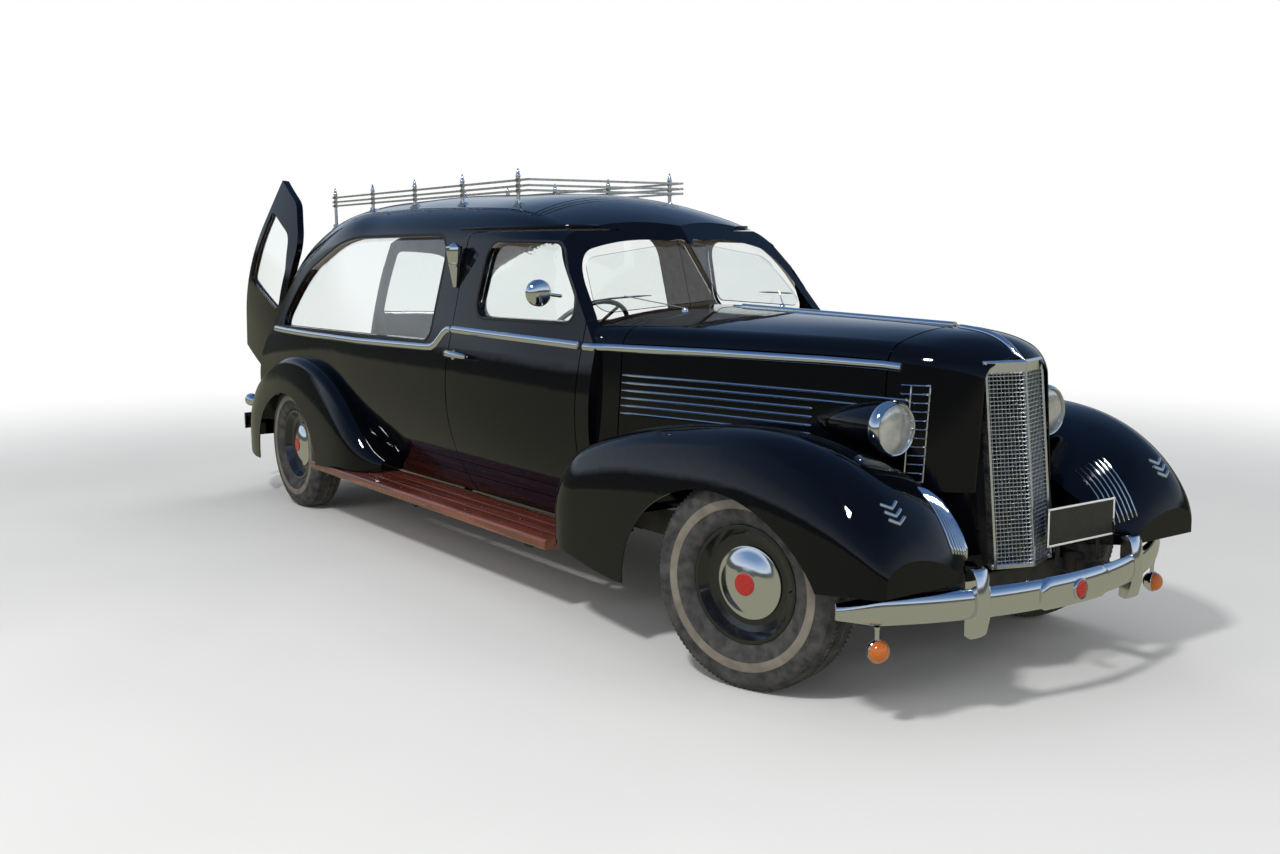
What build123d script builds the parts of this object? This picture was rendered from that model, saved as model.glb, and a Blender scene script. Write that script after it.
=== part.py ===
from build123d import *
import os
from math import atan2, cos, hypot, radians, sin, sqrt, tan

# A 1937-type hearse on a long commercial chassis, right-hand drive, with its rear door leaf open.
# Lengths are in millimetres. x is measured forward from the front axle line, y to the car's left
# from its centre line, and z up from the ground. The finished pieces move forward by centre_ahead,
# so that the origin lies on the ground under the middle of the whole car.

# Chassis and wheels
wheelbase = 4074
centre_ahead = 2362
front_track = 1473
rear_track = 1499
tyre_radius = 370
tyre_width = 185
rim_radius = 205
rim_width = 150
hub_radius = 42
stub_radius = 20
stub_clearance = 0.08
stub_length = 62
hubcap_radius = 125
hubcap_depth = 34
drum_radius = 150
drum_width = 43
backplate = 4
steer_left = 15.8
kingpin_y = 640
kingpin_radius = 24
upright_low = 270
upright_high = 470
arm_length = 170
arm_drop = 60
tie_radius = 10
pin_radius = 8
pin_clearance = 0.3
seat_gap = 0.3

# Body walls and gaps
wall = 45
panel = 6
shut_gap = 6
glass_thickness = 5
glass_inset = 20

# Ladder frame
rail_y = 330
rail_width = 60
rail_low = 300
rail_high = 415
rail_front = 560
rail_rear = -4700
kick_start = -3500
kick_end = -4560
kick_rise = 150


def unit(y, z):
    size = hypot(y, z)
    return (y / size, z / size)


def arc_middle(start, tangent, end):
    """Middle point of the arc that leaves start along tangent and reaches end."""
    chord = (end[0] - start[0], end[1] - start[1])
    turn = atan2(tangent[0] * chord[1] - tangent[1] * chord[0],
                 tangent[0] * chord[0] + tangent[1] * chord[1])
    rise = tan(turn / 2) / 2
    return ((start[0] + end[0]) / 2 + chord[1] * rise,
            (start[1] + end[1]) / 2 - chord[0] * rise)


def two_arcs(start, leave, end, arrive, ratio=1.0):
    """Two arcs that join smoothly: the first arc's middle, the joint and the second's middle."""
    v = (end[0] - start[0], end[1] - start[1])
    t = (leave[0] + ratio * arrive[0], leave[1] + ratio * arrive[1])
    a = 2 * ratio * (1 - leave[0] * arrive[0] - leave[1] * arrive[1])
    b = v[0] * t[0] + v[1] * t[1]
    near = (sqrt(b * b + a * (v[0] ** 2 + v[1] ** 2)) - b) / a
    far = ratio * near
    first = (start[0] + near * leave[0], start[1] + near * leave[1])
    second = (end[0] - far * arrive[0], end[1] - far * arrive[1])
    joint = ((far * first[0] + near * second[0]) / (near + far),
             (far * first[1] + near * second[1]) / (near + far))
    back = (-arrive[0], -arrive[1])
    return arc_middle(start, leave, joint), joint, arc_middle(end, back, joint)


def cross_face(x, path):
    """Face across the car at x. Each step of path is (y, z, middle of the arc that follows or None)."""
    edges = []
    for here, there in zip(path, path[1:] + path[:1]):
        start = Vector(x, here[0], here[1])
        end = Vector(x, there[0], there[1])
        if here[2] is None:
            edges.append(Line(start, end))
        else:
            edges.append(ThreePointArc(start, Vector(x, here[2][0], here[2][1]), end))
    return make_face(edges)


def mirrored(path_half, crown):
    """Closed path from the left half, given from the bottom up, and the crown point on the centre."""
    path = list(path_half[:-1])
    last = path_half[-1]
    path.append((last[0], last[1], crown))
    path.append((-last[0], last[1], path_half[-2][2] and (-path_half[-2][2][0], path_half[-2][2][1])))
    for step, below in zip(path_half[-2::-1], list(path_half[-3::-1]) + [None]):
        middle = below[2] if below else None
        path.append((-step[0], step[1], middle and (-middle[0], middle[1])))
    return path


def band_face(x, outer, inner):
    """Face of a wall at x, between an outer path and an inner path of like steps."""
    back = [(step[0], step[1], inner[k - 1][2] if k else None) for k, step in enumerate(inner)]
    return cross_face(x, outer + back[::-1])


def block(x0, x1, y0, y1, z0, z1):
    return Pos((x0 + x1) / 2, (y0 + y1) / 2, (z0 + z1) / 2) * Box(abs(x1 - x0), abs(y1 - y0), abs(z1 - z0))


def rod(start, end, radius):
    start, end = Vector(*start), Vector(*end)
    along = end - start
    return Plane(origin=start, z_dir=along) * Cylinder(radius, along.length, align=(Align.CENTER, Align.CENTER, Align.MIN))


def rounded(corners):
    """Flat face with rounded corners, each given as (across, up, radius)."""
    runs = []
    for k, (a, b, r) in enumerate(corners):
        before, after = corners[k - 1], corners[(k + 1) % len(corners)]
        back = unit(before[0] - a, before[1] - b)
        on = unit(after[0] - a, after[1] - b)
        half = atan2(abs(back[0] * on[1] - back[1] * on[0]), back[0] * on[0] + back[1] * on[1]) / 2
        cut = r / tan(half)
        mid = unit(back[0] + on[0], back[1] + on[1])
        far = r / sin(half) - r
        runs.append((Vector(a + back[0] * cut, b + back[1] * cut),
                     Vector(a + mid[0] * far, b + mid[1] * far),
                     Vector(a + on[0] * cut, b + on[1] * cut)))
    edges = []
    for k, (start, middle, end) in enumerate(runs):
        edges.append(ThreePointArc(start, middle, end))
        edges.append(Line(end, runs[(k + 1) % len(runs)][0]))
    return make_face(edges)


def side_prism(corners, y0, y1):
    """Solid between y0 and y1 whose side view is the outline of (x, z, corner radius)."""
    face = Plane(origin=(0, y0, 0), x_dir=(1, 0, 0), z_dir=(0, -1, 0)) * rounded(corners)
    return extrude(face, amount=y1 - y0, dir=(0, 1, 0))


def flip(shape):
    """The same piece on the other side of the car."""
    return mirror(shape, about=Plane.XZ)


# Main body. One row per section, from the windscreen back: x, bottom, half width at the bottom,
# belt height and half width, foot of the roof curve and its half width, roof height on the centre
# line, and how far the skin leans from the level there (degrees).
body_rows = [
    # x     low  w_low belt w_belt foot w_foot top  lean
    (-1040, 330, 598, 1050, 690, 1270, 640, 1440, 0),
    (-1360, 330, 600, 1050, 715, 1426, 628, 1606, 0),
    (-1650, 330, 603, 1050, 740, 1506, 636, 1712, 0),
    (-2050, 330, 606, 1050, 760, 1554, 642, 1773, 0),
    (-2700, 330, 610, 1050, 770, 1568, 646, 1796, 0),
    (-3400, 330, 610, 1050, 768, 1563, 645, 1803, 0),
    (-3850, 345, 608, 1045, 760, 1532, 643, 1797, 3),
    (-4120, 360, 606, 1040, 753, 1474, 628, 1778, 8),
    (-4390, 377, 602, 1022, 743, 1400, 616, 1723, 14),
    (-4660, 392, 596, 990, 730, 1300, 610, 1632, 22),
    (-5040, 412, 584, 940, 712, 1185, 606, 1450, 28),
]


def body_path(row, inset, drop=0.0):
    """The body's outline in one section, shrunk by inset and reaching lower by drop."""
    x, low, w_low, belt, w_belt, foot, w_foot, top, lean = row
    sink = inset / cos(radians(lean))
    height = (top - sink - low) / (top - low)
    top = top - sink
    foot = low + (foot - low) * height
    knee = (w_belt - inset, min(belt, low + (belt - low) * height * 1.02))
    shoulder = (w_foot - inset, foot)
    sill = (w_low - inset, low)
    up = unit(shoulder[0] - knee[0], shoulder[1] - knee[1])
    roundness = shoulder[0] / (top - shoulder[1]) * 0.75
    bend, joint, crown = two_arcs(shoulder, up, (0.0, top), (-1.0, 0.0), roundness)
    side = arc_middle(knee, (-up[0], -up[1]), sill)
    half = [(sill[0], sill[1], side), (knee[0], knee[1], None), (shoulder[0], shoulder[1], bend), (joint[0], joint[1], None)]
    if drop:
        half = [(sill[0], sill[1] - drop, None)] + half
    return mirrored(half, (0.0, top))


def body_hull(inset=0.0, drop=0.0):
    """The whole space inside the body's outline."""
    return loft([cross_face(row[0], body_path(row, inset, drop)) for row in body_rows])


def body_band(near, far):
    """The body's wall between two depths below its skin, open below."""
    return loft([band_face(row[0], body_path(row, near), body_path(row, far)) for row in body_rows])


cowl_rear = -1145
cowl_front = -925
bonnet_front = 245
nose_end = 520

# Bonnet and nose. One row per section: x, lower edge and half width there, height and half width
# at the side strip, and height of the centre line.
hood_rows = [
    # x    low  w_low strip w_strip top
    (-1150, 690, 712, 1125, 680, 1262),
    (-850, 690, 640, 1127, 606, 1256),
    (-500, 690, 556, 1129, 520, 1248),
    (-150, 690, 472, 1128, 434, 1239),
    (130, 690, 402, 1124, 365, 1230),
    (270, 690, 366, 1118, 330, 1224),
    (370, 690, 325, 1108, 288, 1212),
    (450, 690, 272, 1095, 235, 1188),
    (520, 690, 200, 1070, 165, 1135),
]


hood_rise = unit(-0.32, 1.0)


def hood_half(row, inset, start=0.0):
    """Left half of the bonnet's outline: foot, strip edge and the joint of its two arcs."""
    x, low, w_low, strip, w_strip, top = row
    edge = (w_strip - inset, strip)
    foot = (w_low - inset, low)
    roundness = (edge[0] - start) / (top - inset - edge[1]) * 0.9
    bend, joint, crown = two_arcs(edge, hood_rise, (start, top - inset), (-1.0, 0.0), roundness)
    return foot, edge, bend, joint, crown, (start, top - inset)


def hood_path(row, inset, drop=0.0):
    foot, edge, bend, joint, crown, top = hood_half(row, inset)
    half = [(foot[0], foot[1], None), (edge[0], edge[1], bend), (joint[0], joint[1], None)]
    if drop:
        half = [(foot[0], foot[1] - drop, None)] + half
    return mirrored(half, top)


def hood_row_at(x):
    """The bonnet's section at any x, in line between its two neighbours."""
    rear, front = [(a, b) for a, b in zip(hood_rows, hood_rows[1:]) if a[0] <= x <= b[0]][0]
    share = (x - rear[0]) / (front[0] - rear[0])
    return (x,) + tuple(a + (b - a) * share for a, b in zip(rear[1:], front[1:]))


def hood_rows_between(x0, x1):
    inside = [row for row in hood_rows if x0 + 20 < row[0] < x1 - 20]
    return [hood_row_at(x0)] + inside + [hood_row_at(x1)]


def hood_hull(inset=0.0, drop=0.0):
    """The space inside the cowl, bonnet and nose, in the three lengths that they are made in."""
    ends = [cowl_rear, cowl_front + shut_gap / 2, bonnet_front + shut_gap / 2, nose_end]
    hull = None
    for x0, x1 in zip(ends, ends[1:]):
        length = loft([cross_face(row[0], hood_path(row, inset, drop)) for row in hood_rows_between(x0, x1)])
        hull = length if hull is None else hull.fuse(length)
    return hull


# Windscreen: two flat panes that meet on the centre line.
screen_foot = Vector(-1071, 0, 1295)
screen_head = Vector(-1314, 0, 1556)
screen_side = Vector(-1160, 590, 1250)


def screen_plane(side):
    """Plane of one pane, its z axis pointing out; side is +1 for the left pane."""
    corner = Vector(screen_side.X, side * screen_side.Y, screen_side.Z)
    up = (screen_head - screen_foot).normalized()
    out = (corner - screen_foot).cross(up).normalized() * side
    return Plane(origin=screen_foot, x_dir=up, z_dir=out)


big = 2500


def ahead_of_screen(depth):
    """Everything in front of the panes, moved in by depth."""
    cut = None
    for side in (1, -1):
        half = Pos(0, 0, -depth) * Box(big, big, big, align=(Align.CENTER, Align.CENTER, Align.MIN))
        half = screen_plane(side) * half
        cut = half if cut is None else cut + half
    return cut



# Openings in the body sides: outline corners as x, z and corner radius.
door_front = -1130
door_rear = -2175
door_foot = 345
door_head = 1592
door_outline = [
    (door_front, door_foot, 20), (door_front, 1250, 60), (-1370, door_head, 90),
    (door_rear, door_head, 60), (door_rear, door_foot, 20),
]
door_window = [
    (-1225, 1205, 45), (-1245, 1310, 50), (-1430, 1530, 90), (-1960, 1540, 90), (-1985, 1205, 70),
]
quarter_window = [
    (-2390, 1075, 60), (-2370, 1575, 110), (-3600, 1575, 1500), (-4320, 1360, 550), (-4510, 1060, 50),
]
arch_rear_x = -wheelbase

parts = {}


def keep(name, *solids):
    """Store a sub-part, moved so that the origin lies under the middle of the car."""
    found = []
    for shape in solids:
        found.extend(shape.solids())
    parts[name] = Pos(centre_ahead, 0, 0) * Compound(found)


# Body shell: side walls and roof, cut off at the screen, and the cowl with its bulkhead.
sill_low = 330
cowl_rows = hood_rows_between(cowl_rear, cowl_front)
cowl_drop = 690 - sill_low
cowl = loft([band_face(row[0], hood_path(row, 0, cowl_drop), hood_path(row, wall, cowl_drop)) for row in cowl_rows])
bulkhead = extrude(cross_face(cowl_front - panel, hood_path(hood_row_at(cowl_front), wall - 1, cowl_drop - 100)), amount=panel, dir=(1, 0, 0))


# Rear wall: its side view on the centre line as x and z, a straight run at each end of an arc, and
# how far the wall curves forward at the hinges.
tail_profile = [(-5031, 300), (-4856, 852), (-4560, 1400), (-4185, 1850)]
tail_bulge = 50
leaf_hinge_y = 640


def ahead_of_tail(depth):
    """Everything ahead of the rear wall's surface, moved in by depth along x."""
    faces = []
    for y in (-800, -400, 0, 400, 800):
        bulge = tail_bulge * (y / leaf_hinge_y) ** 2
        (x0, z0), (x1, z1), (x2, z2), (x3, z3) = [(x + bulge + depth, z) for x, z in tail_profile]
        leave = unit(x1 - x0, z1 - z0)
        corners = [Vector(x0, y, z0), Vector(x1, y, z1), Vector(x2, y, z2), Vector(x3, y, z3)]
        middle = arc_middle((x1, z1), leave, (x2, z2))
        ahead = [Vector(2000, y, z3), Vector(2000, y, z0)]
        faces.append(make_face([Line(corners[0], corners[1]), ThreePointArc(corners[1], Vector(middle[0], y, middle[1]), corners[2]),
                                Line(corners[2], corners[3]), Line(corners[3], ahead[0]), Line(ahead[0], ahead[1]),
                                Line(ahead[1], corners[0])]))
    return loft(faces)


tail_inner = ahead_of_tail(wall * 1.12)
tail_wall = (body_hull(1) & ahead_of_tail(0)) - tail_inner
sides = (body_band(0, wall) - ahead_of_screen(0)) & ahead_of_tail(0)
shell = sides + cowl + bulkhead

# Windscreen apertures, cut square to each pane: up the pane, out from the centre, corner radius.
pane_corners = [(5, 20, 12), (28, 592, 70), (332, 520, 80), (352, 20, 25)]


def pane(side, shrink, depth_out, depth_in):
    middle = (180, 300)
    corners = []
    for up, out, r in pane_corners:
        up = up + shrink if up < middle[0] else up - shrink
        out = out + shrink if out < middle[1] else out - shrink
        corners.append((up, -side * out, r - shrink))
    solid = extrude(rounded(corners), amount=depth_out + depth_in, dir=(0, 0, 1))
    return screen_plane(side) * (Pos(0, 0, -depth_in) * solid)


for side in (1, -1):
    shell = shell - pane(side, 0, 40, 160)

# Front doors: the wall inside the door outline, less the shut line round it.
door_zone = side_prism(door_outline, -900, -300)
door_solid_zone = side_prism(
    [(door_front - shut_gap, door_foot + shut_gap, 15), (door_front - shut_gap, 1250, 55),
     (-1370 - shut_gap, door_head - shut_gap, 85), (door_rear + shut_gap, door_head - shut_gap, 55),
     (door_rear + shut_gap, door_foot + shut_gap, 15)], -900, -300)
window_zone = side_prism(door_window, -900, -300)
quarter_zone = side_prism(quarter_window, -900, -300)
door_pin_x = door_front - shut_gap / 2
door_pin_y = 724
door_swing = rod((door_pin_x, -door_pin_y, 200), (door_pin_x, -door_pin_y, 1800), door_pin_x - door_rear - shut_gap)
door_r = (shell & door_solid_zone & door_swing) - window_zone
for zone in (door_zone, quarter_zone):
    shell = shell - zone - flip(zone)

# Rear doors: two leaves that meet on the centre line, hinged on leaning axes at the rear corners.
leaf_hinge_x = -4894
leaf_hinge_z = 700
leaf_lean = 24
leaf_foot = -90
leaf_head = 1120
leaf_reach_out = 300
leaf_reach_in = 400
leaf_up = (sin(radians(leaf_lean)), 0, cos(radians(leaf_lean)))
leaf_plane = Plane(origin=(leaf_hinge_x, 0, leaf_hinge_z), x_dir=leaf_up,
                   z_dir=(-cos(radians(leaf_lean)), 0, sin(radians(leaf_lean))))


def leaf_zone(side, corners):
    """Solid through the slanting rear wall; corners are up the wall, out from the centre, radius."""
    face = rounded([(s, side * w, r) for s, w, r in corners])
    solid = extrude(face, amount=leaf_reach_out + leaf_reach_in, dir=(0, 0, 1))
    return leaf_plane * (Pos(0, 0, -leaf_reach_in) * solid)


def leaf_corners(gap):
    """Outline of the left leaf, drawn in by gap from the opening."""
    return [(leaf_foot + gap, gap / 2, 2), (leaf_foot + gap, leaf_hinge_y - gap, 30),
            (520, leaf_hinge_y - gap, 300), (900, 546 - gap, 300), (1085 - gap, 330, 160), (leaf_head - gap, gap / 2, 2)]


left_half = leaf_corners(0)[1:5]
right_half = [(s, -w, r) for s, w, r in left_half]
tail_opening = leaf_zone(1, left_half + [(leaf_head, 0, 20)] + right_half[::-1]) - ahead_of_tail(wall * 1.12 + 2)
leaf_window = [(430, 55, 30), (430, 555, 60), (700, 515, 120), (890, 390, 120), (915, 55, 30)]
leaf_swing = leaf_plane * (Pos(0, leaf_hinge_y, 0) * Rot(0, 90, 0) * Cylinder(leaf_hinge_y - shut_gap / 2, 4000))
leaf_l = (tail_wall & leaf_zone(1, leaf_corners(shut_gap)) & leaf_swing) - leaf_zone(1, leaf_window)
shell = (shell + tail_wall) - tail_opening

# Wheel openings in the rear quarter, where the tyres stand inside the wall.
arch_radius = 425
house_y = 540
deck_top = 650
deck_thick = 24
body_inside = body_hull(wall - 2)
above_deck = block(-wheelbase - 600, -wheelbase + 600, -900, 900, deck_top - deck_thick, 900)
for side in (1, -1):
    middle = (-wheelbase, side * house_y, tyre_radius)
    outside = (-wheelbase, side * (house_y + 400), tyre_radius)
    inside = (-wheelbase, side * (house_y - panel), tyre_radius)
    opening = rod(middle, outside, arch_radius)
    tub = (rod(inside, outside, arch_radius + panel) - opening) & body_inside & above_deck
    shell = (shell - opening) + tub
keep("body_shell", shell)
keep("door_r", door_r)
keep("door_l", flip(door_r))
keep("rear_door_l", leaf_l)


def turned(shape, point, axis, angle):
    """The shape turned by angle about the axis through point."""
    return shape.rotate(Axis(point, axis), angle)


# The right leaf stands open, straight back.
leaf_open = 87
leaf_pivot = (leaf_hinge_x, -leaf_hinge_y, leaf_hinge_z)
keep("rear_door_r", turned(flip(leaf_l), leaf_pivot, leaf_up, leaf_open))

# Glass: slices of the wall inside each aperture.
glazing = body_band(glass_inset, glass_inset + glass_thickness)
tail_glazing = ahead_of_tail(glass_inset) - ahead_of_tail(glass_inset + glass_thickness)


def glass(zone):
    return glazing & zone


def drawn_in(corners, gap):
    """The outline moved in by about gap all round."""
    a = sum(c[0] for c in corners) / len(corners)
    b = sum(c[1] for c in corners) / len(corners)
    return [(x + (gap if x < a else -gap), z + (gap if z < b else -gap), r) for x, z, r in corners]


side_glass = glass(side_prism(drawn_in(quarter_window, seat_gap), -900, -300))
door_pane = glass(side_prism(drawn_in(door_window, seat_gap), -900, -300))
leaf_pane = tail_glazing & leaf_zone(1, drawn_in(leaf_window, seat_gap))
screens = [pane(side, seat_gap, -glass_inset, glass_inset + glass_thickness) for side in (1, -1)]
keep("door_glass_r", door_pane)
keep("door_glass_l", flip(door_pane))
keep("rear_glass_l", leaf_pane)
keep("rear_glass_r", turned(flip(leaf_pane), leaf_pivot, leaf_up, leaf_open))

# Bonnet: two lids either side of the hinge strip, fixed sides with the louvres, and the nose.
bonnet_rear = cowl_front + shut_gap
nose_start = bonnet_front + shut_gap
hinge_rod = 6
lid_edge = hinge_rod + 6


def lid_face(row):
    paths = []
    for inset in (0.0, panel):
        foot, edge, bend, joint, crown, top = hood_half(row, inset, lid_edge)
        paths.append([(edge[0], edge[1] + 3, bend), (joint[0], joint[1], crown), (top[0], top[1], None)])
    return band_face(row[0], *paths)


def side_face(row):
    x, low, w_low, strip, w_strip, top = row
    return cross_face(x, [(w_low, low, None), (w_strip, strip - 3, None), (w_strip - panel, strip - 3, None), (w_low - panel, low, None)])


lid_rows = hood_rows_between(bonnet_rear, bonnet_front)
lid_l = loft([lid_face(row) for row in lid_rows])
side_l = loft([side_face(row) for row in lid_rows])
nose_rows = hood_rows_between(nose_start, nose_end)
nose = loft([band_face(row[0], hood_path(row, 0), hood_path(row, panel)) for row in nose_rows])
keep("bonnet_l", lid_l)
keep("bonnet_r", flip(lid_l))
hinge_rear = (bonnet_rear, 0, 1257 - panel / 2)
hinge_front = (bonnet_front, 0, 1226 - panel / 2)
keep("bonnet_sides", side_l, flip(side_l), rod(hinge_rear, hinge_front, hinge_rod))

# Lower nose and the catwalks beside it.
grille_half = 150
grille_low = 430
grille_top = 1120
cheek_feet = [(300, 300), (560, 190), (556, 182), (296, 292)]
cheek_heads = [(nose_start, 369), (505, 214), (498, 207), (nose_start, 359)]
cheek_l = loft([Plane(origin=(0, 0, z)) * make_face(Polyline(corners, close=True))
                for z, corners in ((grille_low + 10, cheek_feet), (690, cheek_heads))])
keep("nose_shell", nose + cheek_l + flip(cheek_l))

# Grille: a bright frame round a forest of thin bars, in two flat faces that meet at a prow.
prow_low = (612, 0, grille_low)
prow_top = (545, 0, grille_top)
edge_back = 52
rows = 25
columns = 6


def grille_face(side, a0, a1, b0, b1, depth, back):
    """A flat bar on one face of the prow: a across from the prow, b up it (0 to 1 each)."""
    def corner(a, b):
        x = prow_low[0] + (prow_top[0] - prow_low[0]) * b - edge_back * a
        return Vector(x, side * grille_half * a, grille_low + (grille_top - grille_low) * b)
    face = make_face(Polyline([corner(a0, b0), corner(a1, b0), corner(a1, b1), corner(a0, b1)], close=True))
    return Pos(-back, 0, 0) * extrude(face, amount=depth, dir=(-1, 0, 0))


frame_a = 0.09
frame_b = 0.022
grille = []
for side in (1, -1):
    for a0, a1, b0, b1 in ((0, 1, 0, frame_b), (0, 1, 1 - frame_b * 2, 1), (0, frame_a, 0, 1), (1 - frame_a, 1, 0, 1)):
        grille.append(grille_face(side, a0, a1, b0, b1, 22, 0))
    for k in range(1, rows):
        b = k / rows
        grille.append(grille_face(side, 0.02, 0.97, b - 0.003, b + 0.003, 8, 3))
    for k in range(1, columns):
        a = k / columns
        grille.append(grille_face(side, a - 0.012, a + 0.012, 0.01, 0.98, 8, 9))
whole_grille = grille[0]
whole_grille = whole_grille.fuse(*grille[1:])
keep("grille", whole_grille)
keep("radiator", block(140, 215, -240, 240, 470, 1090))
shaft_z = tyre_radius - 4
engine = block(-880, 60, -160, 160, 420, 1010)
gearbox = block(-1320, -870, -90, 90, 322, 413)
shaft = rod((-1310, 0, shaft_z), (-wheelbase + 221, 0, shaft_z), 30)
keep("engine", engine.fuse(gearbox, shaft, block(-900, -870, -90, 90, 412, 480)))

# Fenders: thin pressed shells, open below, with the wheel opening cut through. One row per
# section: x, outer half width, crest half width and height, inner half width and height, lower edge.
front_fender_rows = [
    # x     out  crest top  in   in_z low
    (-1100, 815, 745, 520, 640, 470, 330),
    (-1030, 880, 760, 672, 625, 600, 328),
    (-850, 898, 762, 762, 610, 690, 300),
    (-550, 903, 752, 842, 550, 725, 270),
    (-200, 905, 742, 890, 470, 745, 330),
    (100, 903, 734, 904, 395, 745, 420),
    (350, 893, 722, 868, 335, 705, 430),
    (540, 868, 704, 778, 312, 620, 450),
    (640, 838, 694, 680, 375, 545, 456),
    (700, 790, 682, 560, 460, 480, 458),
]
rear_fender_rows = [
    (-3040, 740, 690, 400, 560, 380, 338),
    (-3160, 850, 770, 530, 560, 480, 338),
    (-3400, 893, 800, 740, 560, 680, 338),
    (-3700, 903, 815, 865, 560, 780, 300),
    (-4060, 905, 822, 893, 560, 800, 270),
    (-4400, 898, 815, 805, 560, 720, 250),
    (-4700, 872, 790, 672, 560, 600, 250),
    (-4860, 820, 760, 540, 560, 480, 300),
    (-4925, 770, 730, 430, 600, 400, 330),
]


def fender_path(row, inset):
    x, out, crest, top, inner, inner_z, low = row
    ridge = (crest, top - inset)
    outer = (out - inset, low + (top - low) * 0.4)
    roundness = (outer[0] - ridge[0]) / (ridge[1] - outer[1])
    bend, joint, crown = two_arcs(outer, (0.0, 1.0), ridge, (-1.0, 0.0), roundness)
    fall = arc_middle(ridge, (-1.0, 0.0), (inner + inset, inner_z - inset))
    return [(out - inset, low, None), (outer[0], outer[1], bend), (joint[0], joint[1], crown),
            (ridge[0], ridge[1], fall), (inner + inset, inner_z - inset, None), (inner + inset, low, None)]


def fender(rows):
    """A pressed shell, open below, closed by a thin wall at each end."""
    shell = loft([band_face(row[0], fender_path(row, 0), fender_path(row, panel)) for row in rows])
    ends = []
    for row, way in ((rows[0], 1), (rows[-1], -1)):
        way = way if rows[0][0] < rows[-1][0] else -way
        ends.append(extrude(cross_face(row[0], fender_path(row, panel / 2)), amount=panel, dir=(way, 0, 0)))
    return shell.fuse(*ends)


def arch(x, centre_z, half, height):
    """Wheel opening: an upright slot with an elliptical top, through the whole fender."""
    oval = Plane.XZ * Ellipse(half, height)
    solid = extrude(oval, amount=250, both=True)
    return Pos(x, 750, centre_z) * solid


body_guard = body_hull(-2 * seat_gap)
hood_guard = hood_hull(-2 * seat_gap, 400)
front_fender = fender(front_fender_rows) - arch(-10, 290, 530, 405) - hood_guard - body_guard
rear_fender = fender(rear_fender_rows) - arch(-wheelbase + 30, 290, 470, 395) - body_guard



def largest(shape):
    return max(shape.solids(), key=lambda s: s.volume)


front_fender = largest(front_fender)
rear_fender = largest(rear_fender)
keep("front_fenders", front_fender, flip(front_fender))
keep("rear_fenders", rear_fender, flip(rear_fender))

# Running boards on brackets from the frame.
board_front = -1116
board_rear = -3680
board_out = 885
board_in = 616
board_top = 330
board_thick = 45
board = side_prism([(board_rear, board_top - board_thick, 12), (board_rear, board_top, 12),
                    (board_front, board_top, 12), (board_front, board_top - board_thick, 12)], board_in, board_out)
board = board - block(-1156, board_front + 5, board_in - 5, 717, board_top - board_thick - 5, board_top + 5)
keep("running_boards", board, flip(board))

# Ladder frame with its cross members, running board brackets and bumper irons.
rail_shape = [(rail_front, rail_low, 20), (kick_start, rail_low, 100), (kick_start - 250, rail_low + kick_rise, 100),
              (kick_end, rail_low + kick_rise, 100), (rail_rear, rail_low + 100, 20),
              (rail_rear, rail_high + 100, 20), (kick_end, rail_high + kick_rise, 100),
              (kick_start - 250, rail_high + kick_rise, 100), (kick_start, rail_high, 100), (rail_front, rail_high, 20)]
rail = side_prism(rail_shape, rail_y - rail_width / 2, rail_y + rail_width / 2)
frame_pieces = [rail, flip(rail)]
cross_places = [(480, 330, 400), (0, 315, 395), (-1250, 285, 315), (-2250, 300, 328), (-3350, 300, 328), (-4600, 440, 530)]
for x, z0, z1 in cross_places:
    frame_pieces.append(block(x - 35, x + 35, -rail_y, rail_y, z0, z1))
bracket_places = (-1300, -2400, -3500)
for x in bracket_places:
    for side in (1, -1):
        frame_pieces.append(block(x - 25, x + 25, side * 330, side * 860, board_top - board_thick - seat_gap - 20, board_top - board_thick - seat_gap))
        frame_pieces.append(block(x - 25, x + 25, side * 330, side * 370, board_top - board_thick - seat_gap - 20, rail_low + 20))
bumper_mid = 785
bumper_height = 100
bumper_z = 372
bumper_thick = 14
iron_y = 330
for side in (1, -1):
    frame_pieces.append(block(rail_front - 60, 745, side * iron_y - 22, side * iron_y + 22, bumper_z - 20, bumper_z + 20))
    frame_pieces.append(block(rail_rear + 60, -5075, side * iron_y - 22, side * iron_y + 22, 366, 401))
ladder = frame_pieces[0].fuse(*frame_pieces[1:])


def bumper(tip_x, tip_y, mid_x, z, height):
    """A bowed bar between two tips, its middle further out."""
    out = 1 if mid_x > tip_x else -1
    outer = ThreePointArc(Vector(tip_x, -tip_y, 0), Vector(mid_x, 0, 0), Vector(tip_x, tip_y, 0))
    inner = ThreePointArc(Vector(tip_x - out * bumper_thick, -tip_y, 0), Vector(mid_x - out * bumper_thick, 0, 0),
                          Vector(tip_x - out * bumper_thick, tip_y, 0))
    ends = [Line(outer @ 0, inner @ 0), Line(outer @ 1, inner @ 1)]
    return Pos(0, 0, z) * extrude(make_face([outer, inner] + ends), amount=height / 2, both=True, dir=(0, 0, 1))


front_bar = bumper(530, 837, bumper_mid, bumper_z + 18, bumper_height)
guards = [side_prism([(664, 280, 10), (664, 498, 25), (715, 498, 25), (728, 380, 60), (715, 280, 10)], side * 403 - 32, side * 403 + 32)
          for side in (1, -1)]
guards = [Pos(20, 0, 0) * g for g in guards]
front_bumper = front_bar.fuse(*guards)
keep("front_bumper", front_bumper)
rear_bar = bumper(-4965, 830, -5090, 425, bumper_height)
rear_guards = [side_prism([(-5050, 330, 10), (-5050, 520, 20), (-5105, 520, 20), (-5105, 330, 10)], side * 403 - 28, side * 403 + 28)
               for side in (1, -1)]
keep("rear_bumper", rear_bar.fuse(*rear_guards))
keep("chassis_frame", largest(ladder - front_bumper - rear_bar))

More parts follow.
